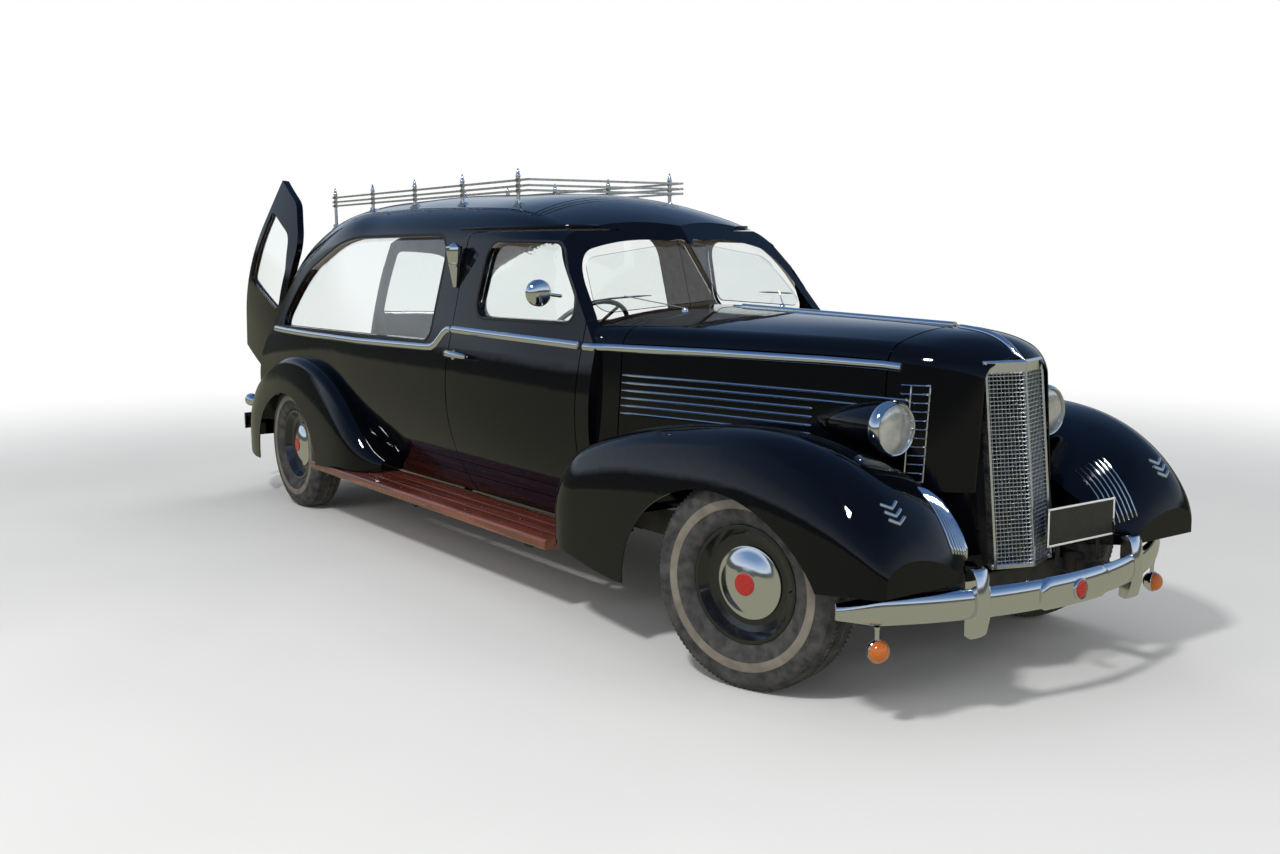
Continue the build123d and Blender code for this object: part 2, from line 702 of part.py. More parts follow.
# Wheels. Each is a steel rim, disc and drum with a hubcap, turning on a stub.
def ring(points, y):
    """Solid of revolution about an axle along y; points are (out from the wheel's middle, radius)."""
    face = make_face(Polyline([(r, w) for w, r in points], close=True))
    return Pos(0, y, tyre_radius) * Rot(90, 0, 0) * Rot(180, 0, 0) * revolve(Plane.XZ * face, Axis.Z)


tyre_profile = [(-62, rim_radius + 0.3), (-82, rim_radius + 22), (-92, 285), (-86, 335), (-66, 362), (-40, tyre_radius),
                (40, tyre_radius), (66, 362), (86, 335), (92, 285), (82, rim_radius + 22), (62, rim_radius + 0.3)]
bore = stub_radius + stub_clearance
wheel_profile = [
    (-66, rim_radius), (-66, rim_radius - 12), (-20, rim_radius - 30), (20, rim_radius - 34), (24, 150),
    (-64, drum_radius), (-64, 60), (-62, bore), (30, bore), (30, 0), (61, 0), (55, 70), (34, hubcap_radius), (28, hubcap_radius),
    (28, 150), (34, rim_radius - 34), (66, rim_radius - 12), (66, rim_radius),
]


def wheel_pair(x, y, name, swing=None):
    side = 1 if y > 0 else -1
    pieces = []
    for profile in (tyre_profile, wheel_profile):
        piece = ring([(side * w, r) for w, r in profile], y)
        piece = Pos(x, 0, 0) * piece
        pieces.append(swing(piece) if swing else piece)
    keep("tyre_" + name, pieces[0])
    keep("wheel_" + name, pieces[1])


def steered(side):
    return lambda shape: shape.rotate(Axis((0, side * kingpin_y, 0), (0, 0, 1)), steer_left)


track_arm_x = -arm_length
tie_z = 270
for side, name in ((1, "l"), (-1, "r")):
    wheel_pair(0, side * front_track / 2, "front_" + name, steered(side))
    wheel_pair(-wheelbase, side * rear_track / 2, "rear_" + name)
    upright = rod((0, side * kingpin_y, upright_low), (0, side * kingpin_y, upright_high), kingpin_radius)
    stub = rod((0, side * kingpin_y, tyre_radius), (0, side * (front_track / 2 + 26), tyre_radius), stub_radius)
    plate = rod((0, side * (kingpin_y + 25.5), tyre_radius), (0, side * (kingpin_y + 25.5 + backplate), tyre_radius), drum_radius)
    arm = block(track_arm_x, 0, side * kingpin_y - 14, side * kingpin_y + 14, tie_z + 14, tie_z + 32)
    eye = rod((track_arm_x, side * kingpin_y, tie_z - 16), (track_arm_x, side * kingpin_y, tie_z + 32), pin_radius)
    knuckle = upright.fuse(stub, plate, arm, eye)
    keep("knuckle_" + name, steered(side)(knuckle))

# Tie rod: it hangs on the pins of the two steering arms.
tie_eye = 17
tie_inset = 13
tie_height = 13
tie_ends = []
for side in (1, -1):
    centre = steered(side)(Pos(track_arm_x, side * kingpin_y, 0) * Sphere(1)).center()
    tie_ends.append((centre.X, centre.Y))
tie = rod((tie_ends[0][0], tie_ends[0][1] - tie_inset, tie_z), (tie_ends[1][0], tie_ends[1][1] + tie_inset, tie_z), tie_radius)
for (x, y), clearance in zip(tie_ends, (1.5, pin_clearance)):
    eye = rod((x, y, tie_z - tie_height), (x, y, tie_z + tie_height), tie_eye)
    tie = tie.fuse(eye - rod((x, y, tie_z - 40), (x, y, tie_z + 40), pin_radius + clearance))
keep("tie_rod", tie)

# Front suspension: cross member ends, lower and upper arms and kingpin bosses.
suspension = []
for side in (1, -1):
    for z0, z1, foot in ((upright_low - seat_gap - 30, upright_low - seat_gap, 110), (upright_high + seat_gap, upright_high + seat_gap + 22, 90)):
        wishbone = make_face(Polyline([(-26, side * kingpin_y), (26, side * kingpin_y), (foot, side * 375), (-foot, side * 375)], close=True))
        suspension.append(Pos(0, 0, z0) * extrude(wishbone, amount=z1 - z0, dir=(0, 0, 1)))
        suspension.append(rod((0, side * kingpin_y, z0), (0, side * kingpin_y, z1), 20))
    suspension.append(block(-60, 60, side * 361, side * 410, 235, 500))
front_suspension = suspension[0].fuse(*suspension[1:5]), suspension[5].fuse(*suspension[6:])
keep("front_suspension", *front_suspension)

# Rear axle with its springs.
axle_tube = 38
axle = rod((-wheelbase, -kingpin_y, tyre_radius), (-wheelbase, kingpin_y, tyre_radius), axle_tube)
axle = axle.fuse(Pos(-wheelbase, 0, tyre_radius) * Sphere(135), rod((-wheelbase, 0, tyre_radius), (-wheelbase + 220, 0, tyre_radius), 60))
for side in (1, -1):
    middle = side * rear_track / 2
    axle = axle.fuse(rod((-wheelbase, side * 600, tyre_radius), (-wheelbase, middle + side * 26, tyre_radius), stub_radius))
    axle = axle.fuse(rod((-wheelbase, middle - side * 75, tyre_radius), (-wheelbase, middle - side * (75 - backplate), tyre_radius), drum_radius))
spring_y = 430
spring_face = make_face([ThreePointArc(Vector(-3420, 0, 395), Vector(-wheelbase, 0, 300), Vector(-4700, 0, 395)),
                         Line(Vector(-4700, 0, 395), Vector(-4700, 0, 425)),
                         ThreePointArc(Vector(-4700, 0, 425), Vector(-wheelbase, 0, tyre_radius - axle_tube + 3), Vector(-3420, 0, 425)),
                         Line(Vector(-3420, 0, 425), Vector(-3420, 0, 395))])
springs = []
for side in (1, -1):
    spring = Pos(0, side * spring_y, 0) * extrude(spring_face, amount=28, both=True, dir=(0, 1, 0))
    for x in (-3440, -4675):
        y0, y1 = sorted((side * (rail_y + rail_width / 2 + seat_gap), side * (spring_y + 28)))
        spring = spring.fuse(block(x - 25, x + 25, y0, y1, 395, 440))
    springs.append(spring)
keep("rear_axle", axle.fuse(*springs))

# Exhaust and fuel tank.
pipe = 24
pipe_y = 120
pipe_z = 258
exhaust = rod((-700, pipe_y, pipe_z), (-4960, pipe_y, pipe_z), pipe)
exhaust = exhaust.fuse(rod((-2500, pipe_y, pipe_z), (-3200, pipe_y, pipe_z), 75),
                       rod((-700, pipe_y, pipe_z), (-700, pipe_y, 420 - seat_gap), pipe))
keep("exhaust", exhaust)
keep("fuel_tank", block(-4500, -4270, -345, 345, 300, rail_low + kick_rise - seat_gap))

# Floors: the cab floor lies on the rails, the load deck higher, both fitted between the walls.
cab_floor = rail_high + seat_gap
floor_space = body_hull(wall + 2, 200) - ahead_of_screen(wall + 60)
door_space = body_hull(wall + shut_gap, 200) - ahead_of_screen(wall + 60)
cab = door_space & block(-2400, -1150, -700, 700, cab_floor, cab_floor + 16)
riser = door_space & block(-2400, -2384, -700, 700, cab_floor + 15, deck_top - deck_thick - seat_gap)
seat_base = block(-2370, -1800, -520, 520, cab_floor + 15, cab_floor + 149.7)
keep("cab_floor", cab.fuse(riser, seat_base))
deck = floor_space & block(-4795, -2384, -700, 700, deck_top - deck_thick, deck_top)
for side in (1, -1):
    inside = (-wheelbase, side * (house_y - panel - 2), tyre_radius)
    outside = (-wheelbase, side * 900, tyre_radius)
    deck = deck - rod(inside, outside, arch_radius + panel + 2)
casket = [block(-4650, -2500, side * 250 - 12, side * 250 + 12, deck_top - 1, deck_top + 34) for side in (1, -1)]
keep("load_deck", deck.fuse(*casket))

# Seat, facia and steering wheel.
keep("seat_cushion", block(-2250, -1760, -560, 560, cab_floor + 150, cab_floor + 330))
keep("seat_back", block(-2372, -2251, -560, 560, cab_floor + 150, cab_floor + 740))
facia = hood_hull(wall + seat_gap) & body_hull(wall + seat_gap) & block(-1128, -1085, -700, 700, 960, 1190)
wheel_centre = (-1640, -330, 1120)
column_foot = (-900, -330, 444)
wheel_axis = Vector(*wheel_centre) - Vector(*column_foot)
wheel_axis = wheel_axis.normalized()
hub = Vector(*wheel_centre)
steering_plane = Plane(origin=wheel_centre, z_dir=wheel_axis)
rim = steering_plane * Torus(205, 11)
spokes = [steering_plane * (Rot(0, 0, k * 120 + 90) * Pos(102, 0, 0) * Box(200, 14, 8)) for k in range(3)]
boss = steering_plane * Cylinder(34, 26)
keep("steering_wheel", rim.fuse(boss, *spokes))
column_top = hub - wheel_axis * (13 + seat_gap)
column = rod(column_foot, (column_top.X, column_top.Y, column_top.Z), 20)
column = column - block(cowl_front - panel - seat_gap, 0, -500, 0, 300, 800)
keep("facia", facia, column)

# Lamps.
lamp_y = 400
lamp_z = 901
lamp_front = 356
lamp_radius = 92
lamp_face = make_face([Line(Vector(lamp_front - 26, 0, 0), Vector(lamp_front - 26, lamp_radius, 0)),
                       ThreePointArc(Vector(lamp_front - 26, lamp_radius, 0), Vector(lamp_front - 190, 70, 0), Vector(lamp_front - 420, 0, 0)),
                       Line(Vector(lamp_front - 420, 0, 0), Vector(lamp_front - 26, 0, 0))])
bowl = revolve(lamp_face, Axis.X)
lens = rod((lamp_front - 26 + seat_gap, 0, 0), (lamp_front, 0, 0), lamp_radius - 4)
lamp_shells, lenses = [], []
for side in (1, -1):
    lamp_shells.append((Pos(0, side * lamp_y, lamp_z) * bowl) - hood_guard)
    lenses.append((Pos(0, side * lamp_y, lamp_z) * lens) - hood_guard)
keep("headlamps", *[largest(s) for s in lamp_shells])
keep("fixed_glass", side_glass, flip(side_glass), *screens, *lenses)

# Roof rails: two long rails and one across the front, three bars each on pointed posts.
rail_bars = (5, 28, 55)
rack_y = 443
rack_front = -1930
rack_rear = -4290
post_places = (-2040, -2600, -3150, -3700, -4250)
rack = []
for side in (1, -1):
    for up in rail_bars:
        rack.append(block(rack_rear, rack_front, side * rack_y - 5, side * rack_y + 5, 1770 + up, 1780 + up))
    for x in post_places:
        rack.append(rod((x, side * rack_y, 1600), (x, side * rack_y, 1850), 9))
for up in rail_bars:
    rack.append(block(rack_front - 20, rack_front - 10, -rack_y, rack_y, 1770 + up, 1780 + up))
rails = rack[0].fuse(*rack[1:]) - body_guard
keep("roof_rails", rails)

# Mirror on the right door, pillar lamps, and the rails on the load deck.
keep("mirror", rod((-1250, -705, 1313), (-1250, -800, 1325), 7).fuse(rod((-1262, -815, 1328), (-1244, -815, 1328), 54)) - body_guard)
pillar = []
for side in (1, -1):
    pillar.append(rod((-2260, side * 730, 1360), (-2260, side * 730, 1520), 28) - body_guard)
fender_guard = loft([cross_face(row[0], fender_path(row, -seat_gap)) for row in rear_fender_rows])
lamps = []
for side in (1, -1):
    stem = rod((590, side * 720, 280), (590, side * 720, bumper_z + 18 - bumper_height / 2 - seat_gap), 9)
    lamps.append(stem.fuse(Pos(600, side * 720, 262) * Sphere(37)))
    lamps.append(largest(rod((-4800, side * 800, 565), (-4900, side * 800, 565), 40) - (fender_guard if side > 0 else flip(fender_guard))))
keep("small_lamps", *lamps, *[largest(p) for p in pillar])
os.makedirs("parts", exist_ok=True)
for name, shape in parts.items():
    export_step(shape, "parts/" + name + ".step")
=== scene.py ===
"""A 1930s limousine hearse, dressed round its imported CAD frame: paint, plating, glass, boards, seats and trim."""

import math

import bmesh
import bpy
from mathutils import Matrix, Vector
from mathutils.bvhtree import BVHTree


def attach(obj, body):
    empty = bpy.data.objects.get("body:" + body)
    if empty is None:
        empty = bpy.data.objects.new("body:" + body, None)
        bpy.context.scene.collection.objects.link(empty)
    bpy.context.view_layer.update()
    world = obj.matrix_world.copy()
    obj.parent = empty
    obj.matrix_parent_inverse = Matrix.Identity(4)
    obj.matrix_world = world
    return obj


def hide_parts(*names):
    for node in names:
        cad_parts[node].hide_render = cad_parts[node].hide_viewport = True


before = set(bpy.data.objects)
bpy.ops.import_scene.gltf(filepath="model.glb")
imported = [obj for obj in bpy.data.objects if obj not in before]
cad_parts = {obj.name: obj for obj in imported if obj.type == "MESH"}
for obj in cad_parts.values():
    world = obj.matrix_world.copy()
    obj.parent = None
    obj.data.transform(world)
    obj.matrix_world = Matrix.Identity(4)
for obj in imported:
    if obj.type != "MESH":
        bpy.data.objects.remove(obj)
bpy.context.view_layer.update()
scene = bpy.context.scene
axle = 2.362                       # the front axle, ahead of the frame's origin

# ---------------- the view
# The photograph is taken from the car's right front quarter at standing eye height,
# with a moderate wide lens. The same station and lens frame the model.
yaw, pitch, roll = 2.526555, -0.134282, -0.006973
eye = Vector((3.35433 + axle, -3.56235, 1.49369))
looking = Vector((math.cos(pitch) * math.cos(yaw), math.cos(pitch) * math.sin(yaw), math.sin(pitch)))
level = looking.cross(Vector((0, 0, 1))).normalized()
plumb = level.cross(looking)
right = math.cos(roll) * level + math.sin(roll) * plumb
upward = -math.sin(roll) * level + math.cos(roll) * plumb
lens_data = bpy.data.cameras.new("viewpoint")
lens_data.sensor_width = 36
lens_data.lens = 36.54
lens_data.clip_end = 200
viewpoint = bpy.data.objects.new("viewpoint", lens_data)
scene.collection.objects.link(viewpoint)
viewpoint.matrix_world = Matrix.Translation(eye) @ Matrix((right, upward, -looking)).transposed().to_4x4()
scene.camera = viewpoint

# ---------------- daylight and floor
# Soft studio light: a pale sky overhead, one broad key from the front right, a fill and a rim,
# and a plain pale floor that fades to white far off. Paint and chrome mirror the sky's gradient.
scene.view_settings.view_transform = "Standard"


def added(tree, *kinds, family="ShaderNode"):
    """New nodes of these kinds, in order."""
    return [tree.nodes.new(family + kind) for kind in kinds]


def wire(tree, *pairs):
    """Links each pair of an output and an input."""
    for source, target in pairs:
        tree.links.new(source, target)


def looked_at(tree):
    """1 for a ray from the camera or on through glass, 0 for any other."""
    path, either = added(tree, "LightPath", "Math")
    either.operation = "MAXIMUM"
    wire(tree, (path.outputs["Is Camera Ray"], either.inputs[0]),
         (path.outputs["Is Transmission Ray"], either.inputs[1]))
    return either.outputs[0]


sky = bpy.data.worlds.new("pale_sky")
scene.world = sky
sky.use_nodes = True
sky.node_tree.nodes.clear()
sky_out, seen, lit, open_sky = added(sky.node_tree, "OutputWorld", "Background", "Background", "Background")
direction, height, shade_of_sky = added(sky.node_tree, "TexCoord", "SeparateXYZ", "ValToRGB")
path, by_gloss, by_camera = added(sky.node_tree, "LightPath", "MixShader", "MixShader")
lit.inputs["Color"].default_value = (0.9, 0.94, 1.0, 1)
lit.inputs["Strength"].default_value = 0.5
open_sky.inputs["Color"].default_value = (1, 1, 1, 1)
ramp = shade_of_sky.color_ramp.elements
ramp[0].position, ramp[0].color = 0, (0.3, 0.3, 0.22, 1)
ramp[1].position, ramp[1].color = 0.75, (0.06, 0.13, 0.3, 1)
for place, colour in ((0.02, (0.1, 0.11, 0.09, 1)), (0.11, (0.08, 0.09, 0.09, 1)), (0.16, (0.66, 0.76, 0.88, 1)),
                      (0.4, (0.18, 0.3, 0.52, 1))):
    ramp.new(place).color = colour
wire(sky.node_tree, (direction.outputs["Generated"], height.inputs[0]), (height.outputs["Z"], shade_of_sky.inputs[0]),
     (shade_of_sky.outputs[0], seen.inputs["Color"]), (path.outputs["Is Glossy Ray"], by_gloss.inputs[0]),
     (lit.outputs[0], by_gloss.inputs[1]), (seen.outputs[0], by_gloss.inputs[2]),
     (looked_at(sky.node_tree), by_camera.inputs[0]), (by_gloss.outputs[0], by_camera.inputs[1]),
     (open_sky.outputs[0], by_camera.inputs[2]), (by_camera.outputs[0], sky_out.inputs[0]))
for name, where, aim, width, power in (("key", (4.5, -6.5, 8.5), (0.5, 0, 0.8), 1.2, 600),
                                       ("fill", (0, -9.0, 4.5), (0, 0, 0.9), 5.0, 150),
                                       ("rim", (-6.5, 5.0, 5.5), (0, 0, 1.0), 4.0, 220),
                                       ("front", (9.0, 2.0, 4.0), (2, 0, 0.7), 3.0, 120)):
    lamp = bpy.data.lights.new(name, "AREA")
    lamp.shape, lamp.size, lamp.energy = "DISK", width, power
    light = bpy.data.objects.new(name, lamp)
    scene.collection.objects.link(light)
    light.location = where
    light.visible_glossy = name == "key"
    light.rotation_euler = (Vector(aim) - Vector(where)).to_track_quat("-Z", "Y").to_euler()


def finish(name, colour, roughness, **sockets):
    """A material whose constants sit on the shader's own sockets, named with _ for a space."""
    made = bpy.data.materials.new(name)
    made.use_nodes = True
    shader = made.node_tree.nodes["Principled BSDF"]
    shader.inputs["Base Color"].default_value = (*colour, 1)
    shader.inputs["Roughness"].default_value = roughness
    for key, value in sockets.items():
        shader.inputs[key.replace("_", " ")].default_value = value
    return made


def shader_of(material):
    return material.node_tree.nodes["Principled BSDF"]


def pattern(material, kind, scale, stretch=(1, 1, 1), **settings):
    """The value of a pattern laid over the piece's own coordinates."""
    where, turn, made = added(material.node_tree, "TexCoord", "Mapping", "Tex" + kind)
    turn.inputs["Scale"].default_value = stretch
    made.inputs["Scale"].default_value = scale
    for key, value in settings.items():
        made.inputs[key].default_value = value
    wire(material.node_tree, (where.outputs["Object"], turn.inputs["Vector"]),
         (turn.outputs["Vector"], made.inputs["Vector"]))
    return made.outputs["Distance" if kind == "Voronoi" else "Fac"]


def drive(material, value, socket):
    """Feeds a socket from a pattern's value, or from plain noise given as (scale, detail)."""
    if isinstance(value, tuple):
        value = pattern(material, "Noise", value[0], Detail=value[1])
    wire(material.node_tree, (value, socket))


def vary(material, value, low, high):
    """Spreads the middle of a pattern between two roughnesses."""
    spread, = added(material.node_tree, "MapRange")
    for key, number in (("From Min", 0.3), ("From Max", 0.7), ("To Min", low), ("To Max", high)):
        spread.inputs[key].default_value = number
    drive(material, value, spread.inputs["Value"])
    drive(material, spread.outputs["Result"], shader_of(material).inputs["Roughness"])


def tint(material, value, *stops):
    """Colours a pattern: stops are (place, colour)."""
    colours, = added(material.node_tree, "ValToRGB")
    ends = colours.color_ramp.elements
    ends[0].position, ends[0].color = stops[0][0], (*stops[0][1], 1)
    ends[1].position, ends[1].color = stops[-1][0], (*stops[-1][1], 1)
    for place, colour in stops[1:-1]:
        ends.new(place).color = (*colour, 1)
    drive(material, value, colours.inputs[0])
    drive(material, colours.outputs[0], shader_of(material).inputs["Base Color"])


def relief(material, value, depth, strength=1.0, before=None):
    """Bumps the surface by a pattern, on top of an earlier bump if one is given."""
    bump, = added(material.node_tree, "Bump")
    bump.inputs["Distance"].default_value = depth
    bump.inputs["Strength"].default_value = strength
    if before:
        drive(material, before.outputs[0], bump.inputs["Normal"])
    drive(material, value, bump.inputs["Height"])
    drive(material, bump.outputs[0], shader_of(material).inputs["Normal"])
    return bump


def swapped(material, share, other):
    """Puts another shader in place of the material's own, by share."""
    blend, = added(material.node_tree, "MixShader")
    wire(material.node_tree, (share, blend.inputs[0]), (shader_of(material).outputs[0], blend.inputs[1]),
         (other.outputs[0], blend.inputs[2]), (blend.outputs[0],
                                               material.node_tree.nodes["Material Output"].inputs["Surface"]))


pale_floor = finish("pale_floor", (0.74, 0.73, 0.7), 0.85)
vary(pale_floor, (1.5, 4), 0.78, 0.92)
tint(pale_floor, (0.35, 3), (0.35, (0.72, 0.71, 0.68)), (0.65, (0.77, 0.76, 0.73)))
fade_start, fade_end = 3.5, 9.0
floor_tree = pale_floor.node_tree
far_white, spot, reach, ease, share = added(floor_tree, "Emission", "TexCoord", "VectorMath", "MapRange", "Math")
reach.operation, share.operation = "LENGTH", "MULTIPLY"
ease.interpolation_type = "SMOOTHSTEP"
ease.inputs["From Min"].default_value, ease.inputs["From Max"].default_value = fade_start, fade_end
wire(floor_tree, (spot.outputs["Object"], reach.inputs[0]), (reach.outputs["Value"], ease.inputs["Value"]),
     (ease.outputs["Result"], share.inputs[0]), (looked_at(floor_tree), share.inputs[1]))
swapped(pale_floor, share.outputs[0], far_white)
floor_mesh = bpy.data.meshes.new("floor")
floor_mesh.from_pydata([(-60, -60, 0), (60, -60, 0), (60, 60, 0), (-60, 60, 0)], [], [(0, 1, 2, 3)])
floor_mesh.materials.append(pale_floor)
floor = bpy.data.objects.new("floor", floor_mesh)
scene.collection.objects.link(floor)
floor.visible_glossy = False

# ---------------- painted panels
# Body, doors, bonnet and wings are pressed and lead-filled steel under many coats of black,
# flatted and polished. The inner faces of the walls carry a plain fawn trim cloth.
paint = finish("polished_black_paint", (0.0016, 0.0018, 0.0026), 0.06, Specular_IOR_Level=0.34)
vary(paint, (9, 6), 0.02, 0.055)
relief(paint, (210, 2), 0.00025, 0.1)
trim_cloth = finish("fawn_trim_cloth", (0.33, 0.28, 0.21), 0.9, Sheen_Weight=0.3)
tint(trim_cloth, (30, 5), (0.3, (0.27, 0.225, 0.165)), (0.7, (0.37, 0.315, 0.24)))
relief(trim_cloth, pattern(trim_cloth, "Voronoi", 900.0), 0.0004, 0.5)


def dress(coat, *nodes):
    """Gives CAD nodes one finish all over."""
    for node in nodes:
        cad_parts[node].data.materials.clear()
        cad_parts[node].data.materials.append(coat)


dress(paint, "body_shell", "door_l", "door_r", "rear_door_l", "rear_door_r", "bonnet_l", "bonnet_r", "bonnet_sides",
      "nose_shell", "front_fenders", "rear_fenders", "headlamps", "facia")
lined_rear, lined_front, lined_from = -2.45, 1.12, 0.66
for node in ("body_shell", "door_l", "door_r"):
    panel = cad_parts[node].data
    panel.materials.append(trim_cloth)
    for face in panel.polygons:
        x, y, z = face.center
        n = face.normal
        inward = n.y * y < -0.05 or (n.z < -0.3 and z > 1.4)
        lined = lined_rear < x < lined_front and z > lined_from
        face.material_index = int(inward and lined and abs(n.x) < 0.7)
chassis_paint = finish("black_chassis_enamel", (0.012, 0.012, 0.013), 0.42)
vary(chassis_paint, (14, 8), 0.32, 0.65)
tint(chassis_paint, (5, 9), (0.45, (0.01, 0.01, 0.011)), (0.75, (0.04, 0.034, 0.028)))
cast_iron = finish("cast_iron", (0.05, 0.05, 0.05), 0.6, Metallic=0.6)
tint(cast_iron, (12, 8), (0.4, (0.045, 0.045, 0.045)), (0.75, (0.1, 0.075, 0.055)))
relief(cast_iron, (260, 3), 0.0008, 0.5)
dress(chassis_paint, "chassis_frame", "front_suspension", "knuckle_l", "knuckle_r", "tie_rod", "fuel_tank",
      "rear_axle", "radiator")
dress(cast_iron, "engine", "exhaust")

# ---------------- plated parts of the frame
# Rails, rear bumper and mirror arm: brass or steel, copper and nickel under chromium, with the faint
# haze and wiping marks of a cleaned car. The rails and the grille are of a duller, silvery plate.
# Each rail post ends in a turned point, and stands on a round flange on the roof.
chrome = finish("bright_chromium", (0.8, 0.81, 0.82), 0.07, Metallic=1.0)
vary(chrome, (22, 7), 0.035, 0.13)
relief(chrome, (340, 2), 0.00012, 0.12)
silvery = finish("silvery_plate", (0.9, 0.91, 0.92), 0.26, Metallic=1.0)
vary(silvery, (40, 6), 0.2, 0.34)
relief(silvery, (300, 2), 0.0002, 0.2)
dress(silvery, "roof_rails")
dress(chrome, "mirror", "rear_bumper")


def joined(meshes):
    """Several meshes as one."""
    whole = bmesh.new()
    for mesh in meshes:
        whole.from_mesh(mesh)
    made = bpy.data.meshes.new("joined")
    whole.to_mesh(made)
    whole.free()
    return made


crease = math.radians(38)


def placed(name, mesh, coat=chrome, body="root", stands_for=(), smooth=True):
    """Puts a finished mesh, or several as one, already in place, on its body."""
    mesh = joined(mesh) if isinstance(mesh, list) else mesh
    mesh.name = name
    mesh.materials.clear()
    mesh.materials.append(coat)
    if smooth:
        mesh.polygons.foreach_set("use_smooth", [True] * len(mesh.polygons))
        mesh.set_sharp_from_angle(angle=crease)
    piece = bpy.data.objects.new(name, mesh)
    scene.collection.objects.link(piece)
    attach(piece, body)
    if stands_for:
        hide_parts(*stands_for)
    return piece


def closed_mesh(points, faces):
    """A mesh of these points and faces, doubles merged and its faces turned outwards."""
    mesh = bpy.data.meshes.new("closed")
    mesh.from_pydata([tuple(p) for p in points], [], faces)
    shape = bmesh.new()
    shape.from_mesh(mesh)
    bmesh.ops.remove_doubles(shape, verts=shape.verts, dist=1e-6)
    bmesh.ops.recalc_face_normals(shape, faces=shape.faces)
    shape.to_mesh(mesh)
    shape.free()
    return mesh


def turned(profile, place, segments):
    """Turns a profile of (along, radius) about the z axis of place. It closes at radius 0 or back on itself."""
    points, faces = [], []
    for k in range(segments):
        a = 2 * math.pi * k / segments
        points += [place @ Vector((r * math.cos(a), r * math.sin(a), w)) for w, r in profile]
    n = len(profile)
    for k in range(segments):
        one, two = k * n, (k + 1) % segments * n
        faces += [(one + i, one + i + 1, two + i + 1, two + i) for i in range(n - 1)]
    return closed_mesh(points, faces)


def along_axis(point, direction):
    """A place whose z axis points in that direction."""
    return Matrix.Translation(point) @ Vector(direction).to_track_quat("Z", "Y").to_matrix().to_4x4()


skin = {}


def surface(*nodes):
    """The skin of some CAD nodes, to set trim on."""
    key = "+".join(nodes)
    if key not in skin:
        points, faces = [], []
        for node in nodes:
            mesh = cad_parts[node].data
            first = len(points)
            points += [v.co.copy() for v in mesh.vertices]
            faces += [[first + i for i in f.vertices] for f in mesh.polygons]
        skin[key] = BVHTree.FromPolygons(points, faces)
    return skin[key]


def touch(tree, start, direction):
    """Where a straight look from start first meets the skin, and the skin's outward normal."""
    where, normal, _, _ = tree.ray_cast(Vector(start), Vector(direction).normalized())
    if where is None:
        raise ValueError(f"nothing lies ahead of {tuple(start)}")
    return where, normal if normal.dot(Vector(direction)) < 0 else -normal


def above(tree, x, y):
    """The skin as seen from above, at x from the front axle."""
    return touch(tree, (x + axle, y, 2.0), (0, 0, -1))


shell = surface("body_shell")
tips = []
post_places, rail_y, tip_z = (-2.04, -2.6, -3.15, -3.7, -4.25), 0.443, 1.843
tip_profile = [(0, 0), (0, 0.0105), (0.006, 0.0125), (0.012, 0.0105), (0.022, 0.008), (0.04, 0.003), (0.044, 0)]
flange_profile = [(-0.004, 0), (-0.004, 0.03), (0.003, 0.03), (0.007, 0.024), (0.01, 0.014), (0.022, 0.0115),
                  (0.022, 0)]
clamp_profile = [(-0.008, 0), (-0.008, 0.0128), (0.008, 0.0128), (0.008, 0)]
for x in post_places:
    for y in (rail_y, -rail_y):
        foot, out = above(shell, x, y)
        tips.append(turned(tip_profile, Matrix.Translation((x + axle, y, tip_z)), 20))
        tips.append(turned(flange_profile, along_axis(foot, out), 24))
        tips += [turned(clamp_profile, Matrix.Translation((x + axle, y, z)), 16) for z in (1.78, 1.803, 1.83)]
placed("rail_tips_and_flanges", tips)

# ---------------- repeats
# One rule lays out whatever repeats on the car: a shape, copied by a step or by a turn about z,
# as the grille's bars, the tyre's blocks and the boards' screws are on the real thing.
rule = bpy.data.node_groups.new("copies_in_a_row", "GeometryNodeTree")
for label, kind in (("Shape", "Geometry"), ("Count", "Int"), ("Step", "Vector"), ("Turn", "Vector"),
                    ("Finish", "Material")):
    rule.interface.new_socket(label, in_out="INPUT", socket_type="NodeSocket" + kind)
rule.interface.new_socket("Geometry", in_out="OUTPUT", socket_type="NodeSocketGeometry")
given, result = added(rule, "GroupInput", "GroupOutput", family="Node")
places, number, put = added(rule, "MeshLine", "InputIndex", "SetPosition", family="GeometryNode")
copies, real, coated = added(rule, "InstanceOnPoints", "RealizeInstances", "SetMaterial", family="GeometryNode")
stepped, wound = added(rule, "VectorMath", "VectorMath")
facing, = added(rule, "EulerToRotation", family="FunctionNode")
stepped.operation, wound.operation = "SCALE", "SCALE"
places.inputs["Offset"].default_value = (0, 0, 0)
wire(rule, (given.outputs["Count"], places.inputs["Count"]), (given.outputs["Step"], stepped.inputs[0]),
     (number.outputs[0], stepped.inputs["Scale"]), (given.outputs["Turn"], wound.inputs[0]),
     (number.outputs[0], wound.inputs["Scale"]), (places.outputs[0], put.inputs["Geometry"]),
     (stepped.outputs[0], put.inputs["Position"]), (put.outputs[0], copies.inputs["Points"]),
     (given.outputs["Shape"], copies.inputs["Instance"]), (wound.outputs[0], facing.inputs[0]),
     (facing.outputs[0], copies.inputs["Rotation"]), (copies.outputs[0], real.inputs[0]),
     (real.outputs[0], coated.inputs["Geometry"]), (given.outputs["Finish"], coated.inputs["Material"]),
     (coated.outputs[0], result.inputs["Geometry"]))


